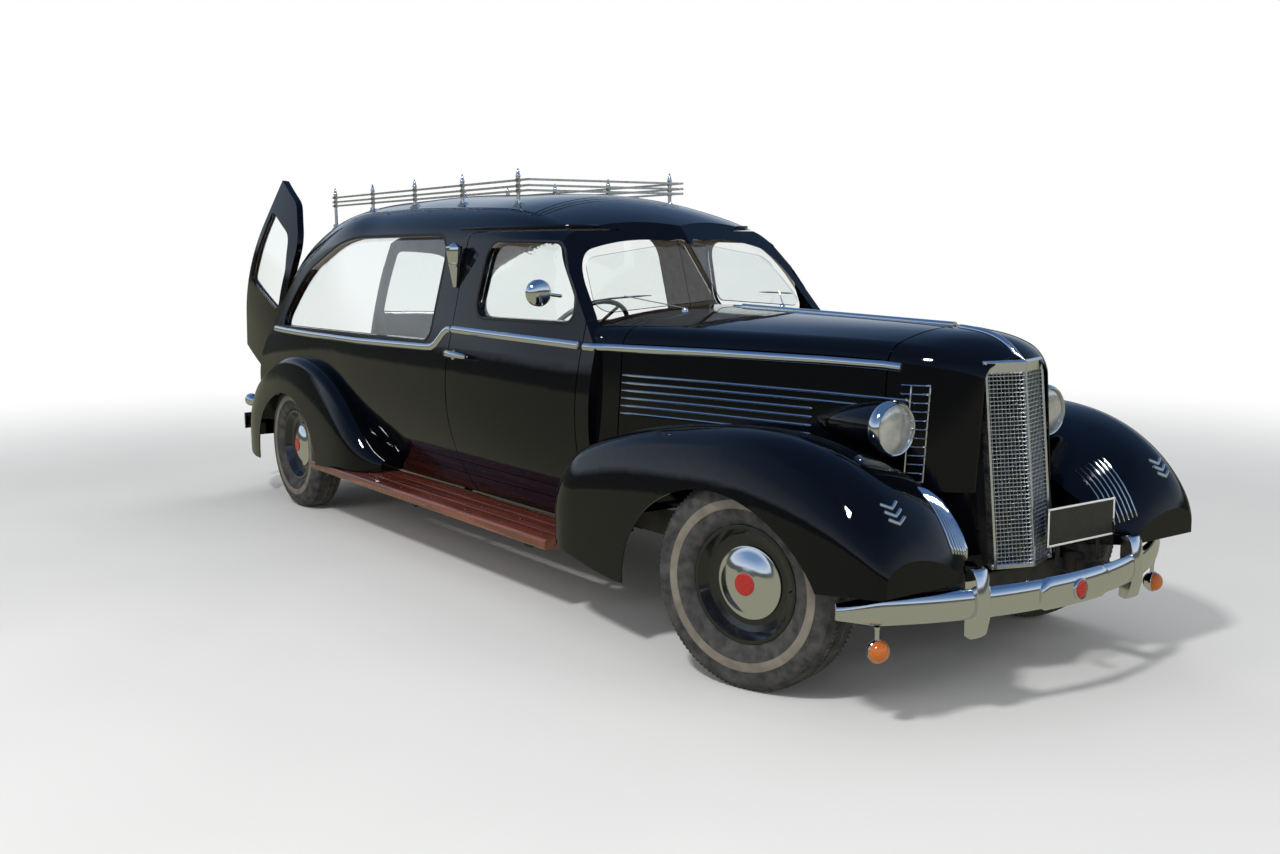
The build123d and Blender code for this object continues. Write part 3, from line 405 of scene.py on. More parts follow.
def repeated(shape, coat, count, step=(0, 0, 0), turn=(0, 0, 0)):
    """Runs the rule on one shape and gives the plain mesh."""
    one = bpy.data.objects.new("one", shape)
    scene.collection.objects.link(one)
    laid = one.modifiers.new("copies", "NODES")
    laid.node_group = rule
    values = {"Count": count, "Step": step, "Turn": turn, "Finish": coat}
    for item in rule.interface.items_tree:
        if item.item_type == "SOCKET" and item.in_out == "INPUT" and item.name in values:
            laid[item.identifier] = values[item.name]
    made = bpy.data.meshes.new_from_object(one.evaluated_get(bpy.context.evaluated_depsgraph_get()))
    bpy.data.objects.remove(one)
    return made


def lofted(rings, closed=False):
    """A skin over rings of equally many points, closed on itself or capped at both ends."""
    n, m = len(rings[0]), len(rings)
    faces = [] if closed else [tuple(range(n)), tuple(range((m - 1) * n, m * n))]
    for k in range(m if closed else m - 1):
        one, two = k * n, (k + 1) % m * n
        faces += [(one + i, one + (i + 1) % n, two + (i + 1) % n, two + i) for i in range(n)]
    return closed_mesh([p for ring in rings for p in ring], faces)


def bar(start, end, width, height, up=(0, 0, 1)):
    """A straight bar with chamfered long edges, between two points."""
    start, end = Vector(start), Vector(end)
    t = (end - start).normalized()
    b = Vector(up).cross(t).normalized()
    u = t.cross(b)
    c = min(width, height) * 0.22
    w, h = width / 2, height / 2
    ring = [(-w + c, -h), (w - c, -h), (w, -h + c), (w, h - c), (w - c, h), (-w + c, h), (-w, h - c), (-w, -h + c)]
    return lofted([[p + b * i + u * j for i, j in ring] for p in (start, end)])


# ---------------- grille
# An egg-crate of thin plated strips on two flat faces that meet at a prow, in a bright pressed
# surround with a rounded cap. It is one assembly, dropped in from the front and bolted behind.
low, high = Vector((0.612 + axle, 0, 0.43)), Vector((0.545 + axle, 0, 1.12))
half, set_back = 0.15, 0.052
rise = high - low
rows, columns = 48, 11
inside, behind = 0.955, 0.93       # shares of the opening that the strips and the dark sheet fill
forward = Vector((1, 0, 0))
level_bars = []
for side in (1, -1):
    edge = Vector((-set_back * inside, side * half * inside, 0))
    level_bars.append(bar(low - forward * 0.002, low + edge - forward * 0.002, 0.011, 0.003))
rungs = repeated(joined(level_bars), chrome, rows - 1, step=tuple(rise / rows * inside))
rungs.transform(Matrix.Translation(rise * 0.035))
uprights = []
for side in (1, -1):
    first = Vector((-set_back / columns, side * half / columns, 0))
    foot = low + first - forward * 0.008
    post = bar(foot + rise * 0.02, foot + rise * 0.97, 0.0018, 0.011, up=(1, 0, 0))
    uprights.append(repeated(post, chrome, columns - 1, step=tuple(first)))
surround = []
for side in (1, -1):
    corner = Vector((-set_back, side * half, 0))
    surround.append(bar(low + corner * 0.965, high + corner * 0.965, 0.011, 0.03, up=(1, 0, 0)))
    sill, cap = low + Vector((-0.004, 0, 0.007)), high + Vector((-0.002, 0, -0.018))
    surround += [bar(sill, sill + corner, 0.024, 0.016), bar(cap, cap + corner, 0.03, 0.046)]
surround.append(bar(low + forward * 0.002, high + forward * 0.002, 0.008, 0.018, up=(1, 0, 0)))
placed("egg_crate_grille", [rungs, *uprights, *surround], silvery, "root", ("grille",))
dark_core = finish("dark_radiator_core", (0.01, 0.01, 0.011), 0.7, Metallic=0.3)
relief(dark_core, pattern(dark_core, "Voronoi", 260.0), 0.002, 0.6)
sheet = []
for x in (-0.06, -0.0605):
    for side in (-1, 0, 1):
        sheet += [p + Vector((x - set_back * abs(side) * behind, side * half * behind, dz))
                  for p, dz in ((low, 0.004), (high, -0.03))]
quads = [(0, 2, 3, 1), (2, 4, 5, 3), (6, 7, 9, 8), (8, 9, 11, 10), (0, 1, 7, 6), (4, 10, 11, 5), (0, 6, 8, 2),
         (2, 8, 10, 4), (1, 3, 9, 7), (3, 5, 11, 9)]
placed("grille_backing", closed_mesh(sheet, quads), dark_core, "root", smooth=False)


# ---------------- mouldings
# Half-round strips of rolled brass, plated, clipped through the panels: along the belt, down to the
# sill of the long side window, over the bonnet joint and down the middle of the nose.
def moulding(stations, half_width, proud):
    """A half-round strip along (point, outward normal) stations, drawn in at both ends."""
    section = [(-1, -0.25), (-1, 0.05), (-0.85, 0.5), (-0.5, 0.86), (0, 1), (0.5, 0.86), (0.85, 0.5), (1, 0.05),
               (1, -0.25)]
    rings, last = [], len(stations) - 1
    for k, (p, out) in enumerate(stations):
        t = (stations[min(k + 1, last)][0] - stations[max(k - 1, 0)][0]).normalized()
        b = t.cross(out).normalized()
        shrink = 0.25 if k in (0, last) else 1
        rings.append([p + b * (i * half_width * shrink) + out * (j * proud * (shrink if j > 0 else 1))
                      for i, j in section])
    return lofted(rings)


def beside(tree, x, side, z):
    """The skin as seen from one side, at x from the front axle."""
    return touch(tree, (x + axle, side * 1.4, z), (0, -side, 0))


def side_run(tree, line, side, spacing=0.03):
    """Stations on the side skin along (x, z) corners, x from the front axle."""
    marks = []
    for (x0, z0), (x1, z1) in zip(line, line[1:]):
        count = max(1, round(math.hypot(x1 - x0, z1 - z0) / spacing))
        marks += [(x0 + (x1 - x0) * i / count, z0 + (z1 - z0) * i / count) for i in range(count)]
    marks.append(line[-1])
    near_ends = [tuple(p + (q - p) * 0.12 for p, q in zip(marks[a], marks[b])) for a, b in ((0, 1), (-1, -2))]
    marks = [marks[0], near_ends[0], *marks[1:-1], near_ends[1], marks[-1]]
    return [beside(tree, x, side, z) for x, z in marks]


belt_rear = [(-2.181, 1.137), (-2.215, 1.133), (-2.245, 1.118), (-2.275, 1.09), (-2.305, 1.062), (-2.34, 1.046),
             (-2.4, 1.042), (-3.2, 1.03), (-3.9, 1.03), (-4.4, 1.032), (-4.62, 1.034)]
belt_front = [(-1.124, 1.109), (-0.93, 1.11), (-0.5, 1.112), (0, 1.109), (0.235, 1.104), (0.3, 1.099)]
hands = ((1, "l"), (-1, "r"))
for side, name in hands:
    bonnet = surface("bonnet_sides", "nose_shell", "body_shell")
    strip = moulding(side_run(bonnet, belt_front, side), 0.0165, 0.011)
    sill = moulding(side_run(shell, belt_rear, side), 0.018, 0.013)
    placed("side_mouldings_" + name, [strip, sill])
    belt = moulding(side_run(surface("door_" + name), [(-1.15, 1.112), (-1.6, 1.124), (-2.165, 1.137)], side), 0.019,
                    0.013)
    placed("door_moulding_" + name, belt, chrome, "door_" + name)
spine = []
for x in (0.252, 0.27, 0.3, 0.33, 0.36, 0.39, 0.42, 0.445, 0.465, 0.485, 0.5, 0.512):
    spine.append(above(surface("nose_shell"), x, 0.0005))
spine.append((high + Vector((0.004, 0, 0.006)), Vector((0.9, 0, 0.44)).normalized()))
placed("nose_strip", moulding(spine, 0.011, 0.01))
hinge_start, hinge_end = Vector((-0.919 + axle, 0, 1.259)), Vector((0.245 + axle, 0, 1.228))
hinge_run = hinge_end - hinge_start
hinge_profile = [(0, 0), (0, 0.0125), (hinge_run.length, 0.0125), (hinge_run.length, 0)]
placed("bonnet_hinge_strip", turned(hinge_profile, along_axis(hinge_start, hinge_run), 24))
cowl_line = [above(shell, x, 0.0005) for x in (-0.985, -0.98, -0.96, -0.94, -0.928)]
placed("cowl_strip", moulding(cowl_line, 0.008, 0.007))

# ---------------- bonnet louvre strips
# Six bright strips run along each bonnet side; the two upper ones reach forward past the lamp to a
# ladder of short bars between two uprights. Each is a rolled strip, pinned through the panel.
louvre_pitch, ladder_pitch = 0.0302, 0.0294
for side, name in hands:
    panel = surface("bonnet_sides", "nose_shell", "body_shell")
    strips = []
    for k in range(6):
        fall = louvre_pitch * k
        line = [(-0.915, 1.005), (-0.5, 1.003), (-0.03, 0.998), (0.235, 0.993), (0.33, 0.99)][:5 if k < 2 else 3]
        run = side_run(panel, [(x, z - fall) for x, z in line], side, 0.05)
        strips.append(moulding(run, 0.0058, 0.008))
    nose = surface("nose_shell")
    for x in (0.335, 0.392):
        strips.append(moulding(side_run(nose, [(x, 1.04), (x, 0.87), (x, 0.716)], side, 0.04), 0.0035, 0.006))
    for k in range(12):
        z = 1.042 - ladder_pitch * k
        start = 0.3 if k in (0, 1, 10, 11) else 0.335
        strips.append(moulding(side_run(nose, [(start, z), (0.396, z)], side, 0.02), 0.0032, 0.007))
    placed("louvre_strips_" + name, strips)

# ---------------- lamps
# Headlamps: a spun torpedo shell, a plated rim and a fluted glass over a silvered dish. Small lamps:
# amber balls under the front bumper, plated torches on the centre pillars, and red tail lamps.
lamp_glass_painted_reflection = finish("fluted_lamp_glass_painted_reflection", (0.55, 0.56, 0.54), 0.12, Metallic=0.55, Coat_Weight=1.0, Coat_Roughness=0.02)
# The lamp glass's colour is mottled from dark to bright by noise: a painted reflection of the silvered dish behind
# the flutes.
tint(lamp_glass_painted_reflection, (7, 4), (0.32, (0.3, 0.3, 0.26)), (0.5, (0.56, 0.57, 0.54)), (0.68, (0.8, 0.81, 0.79)))
relief(lamp_glass_painted_reflection, pattern(lamp_glass_painted_reflection, "Wave", 34.0, stretch=(0, 1, 0)), 0.004, 0.8)
rim_profile = [(0.001, 0.0925), (-0.012, 0.0935), (-0.014, 0.0955), (-0.008, 0.098), (0.004, 0.0985), (0.014, 0.0965),
               (0.022, 0.0915), (0.027, 0.0865), (0.026, 0.0835), (0.018, 0.0825), (0.001, 0.083), (0.001, 0.0925)]
glass_profile = [(0.0005, 0), (0.0005, 0.0825), (0.018, 0.0825), (0.022, 0.075), (0.026, 0.058), (0.029, 0.036),
                 (0.0305, 0.015), (0.031, 0)]
lamp_places = [along_axis((0.33 + axle, y, 0.901), (1, 0, 0)) for y in (0.4, -0.4)]
rims = [turned(rim_profile, place, 72) for place in lamp_places]
fronts = [turned(glass_profile, place, 72) for place in lamp_places]
placed("headlamp_rims", rims)
placed("headlamp_glasses", fronts, lamp_glass_painted_reflection, "root")
amber = finish("amber_lamp_glass", (0.62, 0.16, 0.02), 0.12, Transmission_Weight=0.25, Coat_Weight=0.8)
relief(amber, pattern(amber, "Wave", 120.0, stretch=(0, 1, 0)), 0.001, 0.5)
ruby = finish("ruby_lamp_glass", (0.3, 0.01, 0.008), 0.1, Coat_Weight=0.8)
relief(ruby, pattern(ruby, "Wave", 110.0, stretch=(0, 1, 0)), 0.001, 0.5)
amber_balls, ruby_faces, bright = [], [], []
quarter = [i * math.pi / 20 for i in range(10)]
ball_profile = [(-0.004, 0)] + [(0.034 * math.sin(a), 0.0355 * math.cos(a)) for a in quarter] + [(0.034, 0)]
bowl_profile = [(-0.037, 0)] + [(-0.037 * math.cos(a), 0.037 * math.sin(a)) for a in quarter[1:]]
bowl_profile += [(0.002, 0.038), (0.004, 0.0365), (0.003, 0.034), (-0.003, 0.034), (-0.003, 0)]
stem_profile = [(0, 0), (0, 0.007), (0.032, 0.0075), (0.04, 0.01), (0.0425, 0.01), (0.0425, 0)]
pod_profile = [(-0.085, 0), (-0.08, 0.014), (-0.06, 0.028), (-0.035, 0.037), (-0.01, 0.04), (0.004, 0.0405),
               (0.007, 0.036), (0.002, 0.034), (0, 0)]
tail_profile = [(0, 0), (0.001, 0.0355), (0.005, 0.0355), (0.01, 0.029), (0.014, 0.015), (0.015, 0)]
torch_profile = [(-0.11, 0), (-0.108, 0.01), (-0.085, 0.014), (-0.02, 0.025), (0.045, 0.036), (0.078, 0.04),
                 (0.084, 0.037), (0.088, 0.024), (0.098, 0.01), (0.102, 0)]
collar_profile = [(-0.012, 0), (-0.012, 0.0275), (-0.002, 0.0295), (0.006, 0.0285), (0.006, 0)]
for side in (1, -1):
    ball = along_axis((0.6 + axle, side * 0.72, 0.262), (0.97, side * 0.24, 0))
    pod = along_axis((-4.9 + axle, side * 0.8, 0.565), (-1, 0, 0))
    pillar, _ = beside(shell, -2.205, side, 1.44)
    stand = Matrix.Translation(pillar + Vector((0, side * 0.03, 0)))
    amber_balls.append(turned(ball_profile, ball, 40))
    ruby_faces.append(turned(tail_profile, pod, 40))
    stem = Matrix.Translation((0.593 + axle, side * 0.72, 0.2965))
    bright += [turned(bowl_profile, ball, 40), turned(stem_profile, stem, 20), turned(pod_profile, pod, 40),
               turned(torch_profile, stand, 6), turned(collar_profile, stand, 24)]
placed("signal_balls", amber_balls, amber, "root", ("small_lamps",))
placed("tail_glasses", ruby_faces, ruby, "root")
placed("small_lamp_shells", bright)

# ---------------- glass
# Flat and gently bent plate, faintly green at the edge, held in black rubber channel. A lap of the
# rubber shows round each side window, under a painted drip rail over the cab door.
plate = finish("plate_glass", (0.93, 0.97, 0.95), 0, Transmission_Weight=1.0, IOR=1.5)
clear, shadow_path = added(plate.node_tree, "BsdfTransparent", "LightPath")
clear.inputs[0].default_value = (0.88, 0.93, 0.91, 1)
relief(plate, (1.4, 1), 0.0004, 0.02)
swapped(plate, shadow_path.outputs["Is Shadow Ray"], clear)
dress(plate, "door_glass_l", "door_glass_r", "rear_glass_l", "rear_glass_r")
panes = bmesh.new()
panes.from_mesh(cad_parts["fixed_glass"].data)
bmesh.ops.delete(panes, geom=[v for v in panes.verts if v.co.x > axle], context="VERTS")
bmesh.ops.remove_doubles(panes, verts=panes.verts, dist=1e-5)
pane_mesh = bpy.data.meshes.new("panes")
panes.to_mesh(pane_mesh)
panes.free()
if "custom_normal" in pane_mesh.attributes:
    pane_mesh.attributes.remove(pane_mesh.attributes["custom_normal"])
placed("window_panes", pane_mesh, plate, "root", ("fixed_glass",))

rubber_seal = finish("black_window_rubber", (0.012, 0.012, 0.012), 0.55)
vary(rubber_seal, (60, 5), 0.45, 0.7)


def rounded_outline(corners):
    """The (x, z) points of an outline of (x, z, corner radius) in metres."""
    arcs, points, spacing = [], [], 0.03
    for k, (x, z, r) in enumerate(corners):
        p = Vector((x, z))
        a = (Vector(corners[k - 1][:2]) - p).normalized()
        b = (Vector(corners[(k + 1) % len(corners)][:2]) - p).normalized()
        reach = r / math.tan(a.angle(b) / 2)
        middle = p + (a + b).normalized() * (r / math.sin(a.angle(b) / 2))
        u, v = p + a * reach - middle, p + b * reach - middle
        turn = u.angle_signed(v)
        steps = max(3, round(abs(turn) * r / (spacing * 0.5)))
        arcs.append([middle + Matrix.Rotation(-turn * i / steps, 2) @ u for i in range(steps + 1)])
    for arc, following in zip(arcs, arcs[1:] + arcs[:1]):
        run = following[0] - arc[-1]
        count = int(run.length / spacing)
        points += arc + [arc[-1] + run * i / (count + 1) for i in range(1, count + 1)]
    return points


def grown(points, gap):
    """The outline moved out by gap."""
    n = len(points)
    centre = sum(points, Vector((0, 0))) / n
    out = []
    for k, p in enumerate(points):
        t = (points[(k + 1) % n] - points[k - 1]).normalized()
        side = Vector((t.y, -t.x))
        out.append(p + side * (gap if side.dot(p - centre) > 0 else -gap))
    return out


def ring_moulding(tree, outline, side, half_width, proud):
    """A half-round strip that closes on itself round a window."""
    stations = [beside(tree, p.x, side, p.y) for p in outline]
    section = [(-1, -0.3), (-1, 0.1), (-0.6, 0.8), (0, 1), (0.6, 0.8), (1, 0.1), (1, -0.3)]
    rings = []
    for k, (p, out) in enumerate(stations):
        t = (stations[(k + 1) % len(stations)][0] - stations[k - 1][0]).normalized()
        b = t.cross(out).normalized()
        rings.append([p + b * (i * half_width) + out * (j * proud) for i, j in section])
    return lofted(rings, closed=True)


door_light = [(-1.225, 1.205, .045), (-1.245, 1.31, .05), (-1.43, 1.53, .09), (-1.96, 1.54, .09),
              (-1.985, 1.205, .07)]
drip_line = [(-1.44, 1.602), (-1.6, 1.6035), (-2, 1.6045), (-2.27, 1.6045)]
long_light = [(-2.39, 1.075, .06), (-2.37, 1.575, .11), (-3.6, 1.575, 1.5), (-4.32, 1.36, .55), (-4.51, 1.06, .05)]
for side, name in hands:
    seal = ring_moulding(surface("door_" + name), grown(rounded_outline(door_light), 0.009), side, 0.006, 0.0035)
    placed("door_light_rubber_" + name, seal, rubber_seal, "door_" + name)
    seal = ring_moulding(shell, grown(rounded_outline(long_light), 0.01), side, 0.007, 0.004)
    drip = moulding(side_run(shell, drip_line, side), 0.0055, 0.01)
    placed("long_light_rubber_" + name, seal, rubber_seal, "root")
    placed("drip_rail_" + name, drip, paint, "root")

# ---------------- bumpers
# A bowed spring-steel bar with a crowned face, a smooth cover band with a plain red disc at its
# middle, and two upright guards, all plated. The rear one is plainer.
tip, middle = Vector((0.53 + axle, 0.837)), 0.785 + axle
sag = middle - tip.x
radius = (sag ** 2 + tip.y ** 2) / (2 * sag)
spread = math.asin(tip.y / radius)
crown = [(-0.05, -0.01), (-0.047, -0.002), (-0.038, 0.006), (-0.022, 0.011), (0, 0.013), (0.022, 0.011),
         (0.038, 0.006), (0.047, -0.002), (0.05, -0.01), (0.046, -0.013), (0, -0.004), (-0.046, -0.013)]
bumper_z = 0.39


def bowed(count, reach, crown):
    """The crown section carried along the bumper's bow, from -reach to reach of its half angle."""
    rings = []
    for k in range(count + 1):
        a = spread * reach * (2 * k / count - 1)
        out = Vector((math.cos(a), math.sin(a), 0))
        end_round = min(1.0, 0.55 + 6 * min(k, count - k) / count)
        rings.append([Vector((middle - radius, 0, bumper_z)) + out * (radius + d) + Vector((0, 0, h * end_round))
                      for h, d in crown])
    return lofted(rings)


front_bar = bowed(72, 1, crown)
cover = bowed(20, 0.205, [(h * 1.1, d + 0.007) for h, d in crown])
guards = []
guard_side = [(0.692, 0.282), (0.69, 0.48), (0.696, 0.496), (0.712, 0.502), (0.73, 0.497), (0.742, 0.478),
              (0.756, 0.4), (0.752, 0.34), (0.736, 0.286), (0.72, 0.276)]
for y in (0.403, -0.403):
    rings = []
    for w in (-0.031, -0.012, 0.012, 0.031):
        round_off = 0.01 if abs(w) > 0.02 else 0
        rings.append([Vector((x - round_off * max(0, (x - 0.7) / 0.056) + axle, y + w, z)) for x, z in guard_side])
    guards.append(lofted(rings))
front_bumper = placed("front_bumper_bar", [front_bar, cover] + guards, chrome, "root", ("front_bumper",))
softened = front_bumper.modifiers.new("rolled_edges", "BEVEL")
softened.width, softened.segments, softened.limit_method, softened.angle_limit = 0.003, 2, "ANGLE", math.radians(40)
red = finish("plain_red_enamel", (0.36, 0.012, 0.01), 0.22, Coat_Weight=0.7)
vary(red, (90, 4), 0.16, 0.32)
disc_place = along_axis((0.802 + axle, 0, bumper_z), (1, 0, 0))
disc_profile = [(0, 0), (0, 0.031), (0.004, 0.031), (0.008, 0.027), (0.01, 0.014), (0.011, 0)]
disc_rim_profile = [(0, 0.03), (0, 0.036), (0.006, 0.0365), (0.008, 0.034), (0.007, 0.03), (0, 0.03)]
placed("bumper_disc", turned(disc_profile, disc_place, 48), red, "root")
placed("bumper_disc_rim", turned(disc_rim_profile, disc_place, 48))

# ---------------- number plate
# A blank pressed steel plate, enamelled dark with a pale raised border. Two flat irons, bolted to the
# bumper's bracket, carry it ahead of the grille's left side.
plate_dark = finish("dark_plate_enamel", (0.022, 0.02, 0.018), 0.4)
vary(plate_dark, (40, 5), 0.32, 0.5)
plate_pale = finish("pale_plate_border", (0.72, 0.72, 0.68), 0.45)
vary(plate_pale, (50, 4), 0.38, 0.55)
# centre, then half width and half height
px, py, pz, pw, ph = 0.645 + axle, 0.21, 0.56, 0.184, 0.067
placed("blank_plate", bar((px, py - pw, pz), (px, py + pw, pz), 0.004, 2 * ph), plate_dark, "root")
border = [bar((px + 0.001, py - pw, z), (px + 0.001, py + pw, z), 0.006, 0.007)
          for z in (pz - ph + 0.004, pz + ph - 0.004)]
border += [bar((px + 0.001, y, pz - ph), (px + 0.001, y, pz + ph), 0.007, 0.006, up=(1, 0, 0))
           for y in (py - pw + 0.004, py + pw - 0.004)]
placed("plate_border", border, plate_pale, "root")
irons = []
for y in (py - 0.12, py + 0.1):
    irons += [bar((px - 0.004, y, pz - ph + 0.03), (px - 0.004, y, 0.41), 0.022, 0.004, up=(1, 0, 0)),
              bar((px - 0.004, y, 0.412), (0.735 + axle - 0.09 * abs(y), y, 0.412), 0.022, 0.004)]
placed("plate_irons", irons, chassis_paint, "root", smooth=False)

# ---------------- wing trim
# Three plain bright chevrons stand on each front wing, and seven slim ribs curve down each catwalk
# beside the grille. All are plated strips, pinned through the wing.
wing = surface("front_fenders")
chevron_line = ((-0.036, 0.014), (-0.033, 0.013), (-0.018, 0.006), (0, -0.002), (0.018, 0.006), (0.033, 0.013),
                (0.036, 0.014))
rib_line = ((0.44, 0.655), (0.445, 0.653), (0.48, 0.643), (0.52, 0.623), (0.56, 0.595), (0.595, 0.563), (0.62, 0.53),
            (0.632, 0.51), (0.634, 0.505))
chevron_pitch, rib_pitch = 0.021, 0.018
for side, name in hands:
    trim = []
    for k in range(3):
        line = [touch(wing, (1.4 + axle, side * 0.69 + dy, 0.712 - chevron_pitch * k + dz), (-1, 0, 0))
                for dy, dz in chevron_line]
        trim.append(moulding(line, 0.0062, 0.007))
    for k in range(7):
        line = [touch(wing, (x + axle + 0.7, side * (0.372 + rib_pitch * k), z + 0.7), (-1, 0, -1))
                for x, z in rib_line]
        trim.append(moulding(line, 0.003, 0.006))
    placed("wing_trim_" + name, trim)

# ---------------- wheels and tyres
# Black pressed-steel wheels with a chromed dish cap and a plain red centre. Cross-ply tyres with a
# thin pale sidewall band, ribbed shoulders and a blocked tread greyed by use.
tread_rubber = finish("worn_tyre_rubber", (0.035, 0.034, 0.033), 0.78)
tint(tread_rubber, (26, 8), (0.35, (0.024, 0.024, 0.024)), (0.7, (0.075, 0.07, 0.064)))
relief(tread_rubber, (420, 3), 0.0006, 0.5)
band_rubber = finish("pale_band_rubber", (0.42, 0.37, 0.29), 0.62)
tint(band_rubber, (18, 8), (0.3, (0.13, 0.112, 0.088)), (0.7, (0.215, 0.19, 0.15)))
wheel_paint = finish("black_wheel_enamel", (0.006, 0.006, 0.007), 0.16, Coat_Weight=0.8)
vary(wheel_paint, (20, 6), 0.12, 0.3)
side_half = [(0.03, 0.3625), (0.0305, 0.368), (0.0335, 0.37), (0.044, 0.369), (0.0455, 0.364), (0.0475, 0.364),
             (0.049, 0.368), (0.06, 0.3655), (0.069, 0.36), (0.076, 0.35), (0.08, 0.348), (0.0835, 0.34),
             (0.0855, 0.336), (0.089, 0.32), (0.0912, 0.302), (0.0918, 0.298), (0.0922, 0.296), (0.0918, 0.28),
             (0.0908, 0.266), (0.09, 0.264), (0.088, 0.252), (0.0845, 0.238), (0.0815, 0.229), (0.076, 0.219),
             (0.069, 0.211), (0.062, 0.2062)]
middle_half = [(0, 0.37), (0.0125, 0.37), (0.014, 0.363), (0.016, 0.363), (0.0175, 0.37), (0.0285, 0.37)]
half_section = middle_half + side_half
section = [(-w, r) for w, r in reversed(half_section[1:])] + half_section
section.append(section[0])
blocks = []
for w0, w1, lean in ((0.0335, 0.0435, 0.003), (0.0485, 0.06, 0.004), (-0.0435, -0.0335, -0.003),
                     (-0.06, -0.0485, -0.004)):
    drop = 0.0012 if abs(w0 + w1) > 0.1 else 0.0
    ring = [(w0, -0.0045 + lean), (w1, -0.0045 - lean), (w1, 0.0045 - lean), (w0, 0.0045 + lean)]
    blocks.append(lofted([[Vector((r - drop, s, w)) for w, s in ring] for r in (0.366, 0.3712)]))
rows_of_blocks = 120
tread = repeated(joined(blocks), tread_rubber, rows_of_blocks, turn=(0, 0, 2 * math.pi / rows_of_blocks))
band_profile = [(0.0895, 0.265), (0.0921, 0.2655), (0.093, 0.27), (0.0934, 0.281), (0.093, 0.292), (0.0924, 0.2965),
                (0.09, 0.297), (0.0895, 0.265)]
cap_profile = [(0.0295, 0.127), (0.0325, 0.1285), (0.035, 0.1275), (0.0362, 0.124), (0.0368, 0.118), (0.042, 0.106),
               (0.048, 0.092), (0.054, 0.077), (0.059, 0.06), (0.062, 0.044), (0.0628, 0.0405), (0.0628, 0),
               (0.029, 0), (0.0295, 0.127)]
centre_profile = [(0.062, 0), (0.062, 0.0395), (0.0645, 0.0395), (0.066, 0.037), (0.0668, 0.025), (0.0672, 0)]
lip_profile = [(0.0655, 0.193), (0.0672, 0.193), (0.068, 0.1975), (0.0682, 0.203), (0.067, 0.206), (0.0655, 0.2055),
               (0.0655, 0.193)]
valve_profile = [(0, 0), (0, 0.0045), (0.02, 0.0042), (0.0205, 0.003), (0.028, 0.003), (0.029, 0)]
for name, centre, out in (("front_r", (2.38827, -0.73285, 0.37), (0.27228, -0.96222, 0)),
                          ("front_l", (2.33573, 0.73285, 0.37), (-0.27228, 0.96222, 0)),
                          ("rear_r", (-1.712, -0.7495, 0.37), (0, -1, 0)),
                          ("rear_l", (-1.712, 0.7495, 0.37), (0, 1, 0))):
    hub, wheel = along_axis(centre, out), "wheel_" + name
    dress(wheel_paint, wheel)
    tyre = [turned(section, hub, 96), tread.copy()]
    tyre[1].transform(hub)
    placed("tyre_" + name + "_rubber", tyre, tread_rubber, wheel, ("tyre_" + name,))
    placed("pale_band_" + name, turned(band_profile, hub, 96), band_rubber, wheel)
    placed("wheel_cap_" + name, turned(cap_profile, hub, 80), chrome, wheel)
    placed("cap_disc_" + name, turned(centre_profile, hub, 48), red, wheel)
    rim = [turned(lip_profile, hub, 80), turned(valve_profile, hub @ Matrix.Translation((0.176, 0, 0.036)), 12)]
    placed("rim_lip_" + name, rim, wheel_paint, wheel)

# ---------------- running boards
# Three varnished hardwood planks a side, grooved between, with a rounded outer nosing and
# countersunk bright screws into the irons below.
varnish = finish("varnished_red_hardwood", (0.16, 0.035, 0.018), 0.24, Coat_Weight=0.9, Coat_Roughness=0.1)
figure = pattern(varnish, "Noise", 7.0, stretch=(0.35, 9.0, 9.0), Detail=9.0, Distortion=0.6)
tint(varnish, figure, (0.28, (0.055, 0.012, 0.007)), (0.5, (0.15, 0.032, 0.017)), (0.72, (0.27, 0.072, 0.036)))
vary(varnish, (30, 6), 0.18, 0.42)
relief(varnish, pattern(varnish, "Noise", 60.0, stretch=(0.2, 8.0, 8.0), Detail=5.0), 0.0006, 0.35)
board_front, board_rear, board_top, board_low = -1.116 + axle, -3.68 + axle, 0.33, 0.286
plank_edges = ((0.6165, 0.7045), (0.7065, 0.7945), (0.7965, 0.885))
screws_along, screw_step, screws_apart = 8, 0.34, 0.0905
nosing_arc = [math.pi / 2 - i * math.pi / 10 for i in range(6)]
for side, name in hands:
    planks = []
    for y0, y1 in plank_edges:
        nosing = 0.014 if y1 > 0.88 else 0.003
        ring = [(y0, board_low), (y1 - 0.004, board_low), (y1, board_low + 0.004)]
        ring += [(y1 - nosing * (1 - math.sin(a)), board_top - nosing * (1 - math.cos(a))) for a in nosing_arc]
        ring += [(y0 + 0.003, board_top), (y0, board_top - 0.003)]
        planks.append(lofted([[Vector((x, side * y, z)) for y, z in ring]
                              for x in (board_rear + 0.0005, board_front - 0.0005)]))
    placed("board_planks_" + name, planks, varnish, "root", ("running_boards",))
    screw = turned([(0, 0), (0, 0.0062), (0.0009, 0.0058), (0.0014, 0.0046), (0.001, 0.0011), (0.0003, 0)],
                   Matrix.Translation((board_rear + 0.09, side * 0.66, board_top - 0.0002)), 14)
    rows_of_screws = []
    for k in range(len(plank_edges)):
        row = repeated(screw, chrome, screws_along, step=(screw_step, 0, 0))
        row.transform(Matrix.Translation((0, side * screws_apart * k, 0)))
        rows_of_screws.append(row)
    placed("board_screws_" + name, rows_of_screws)

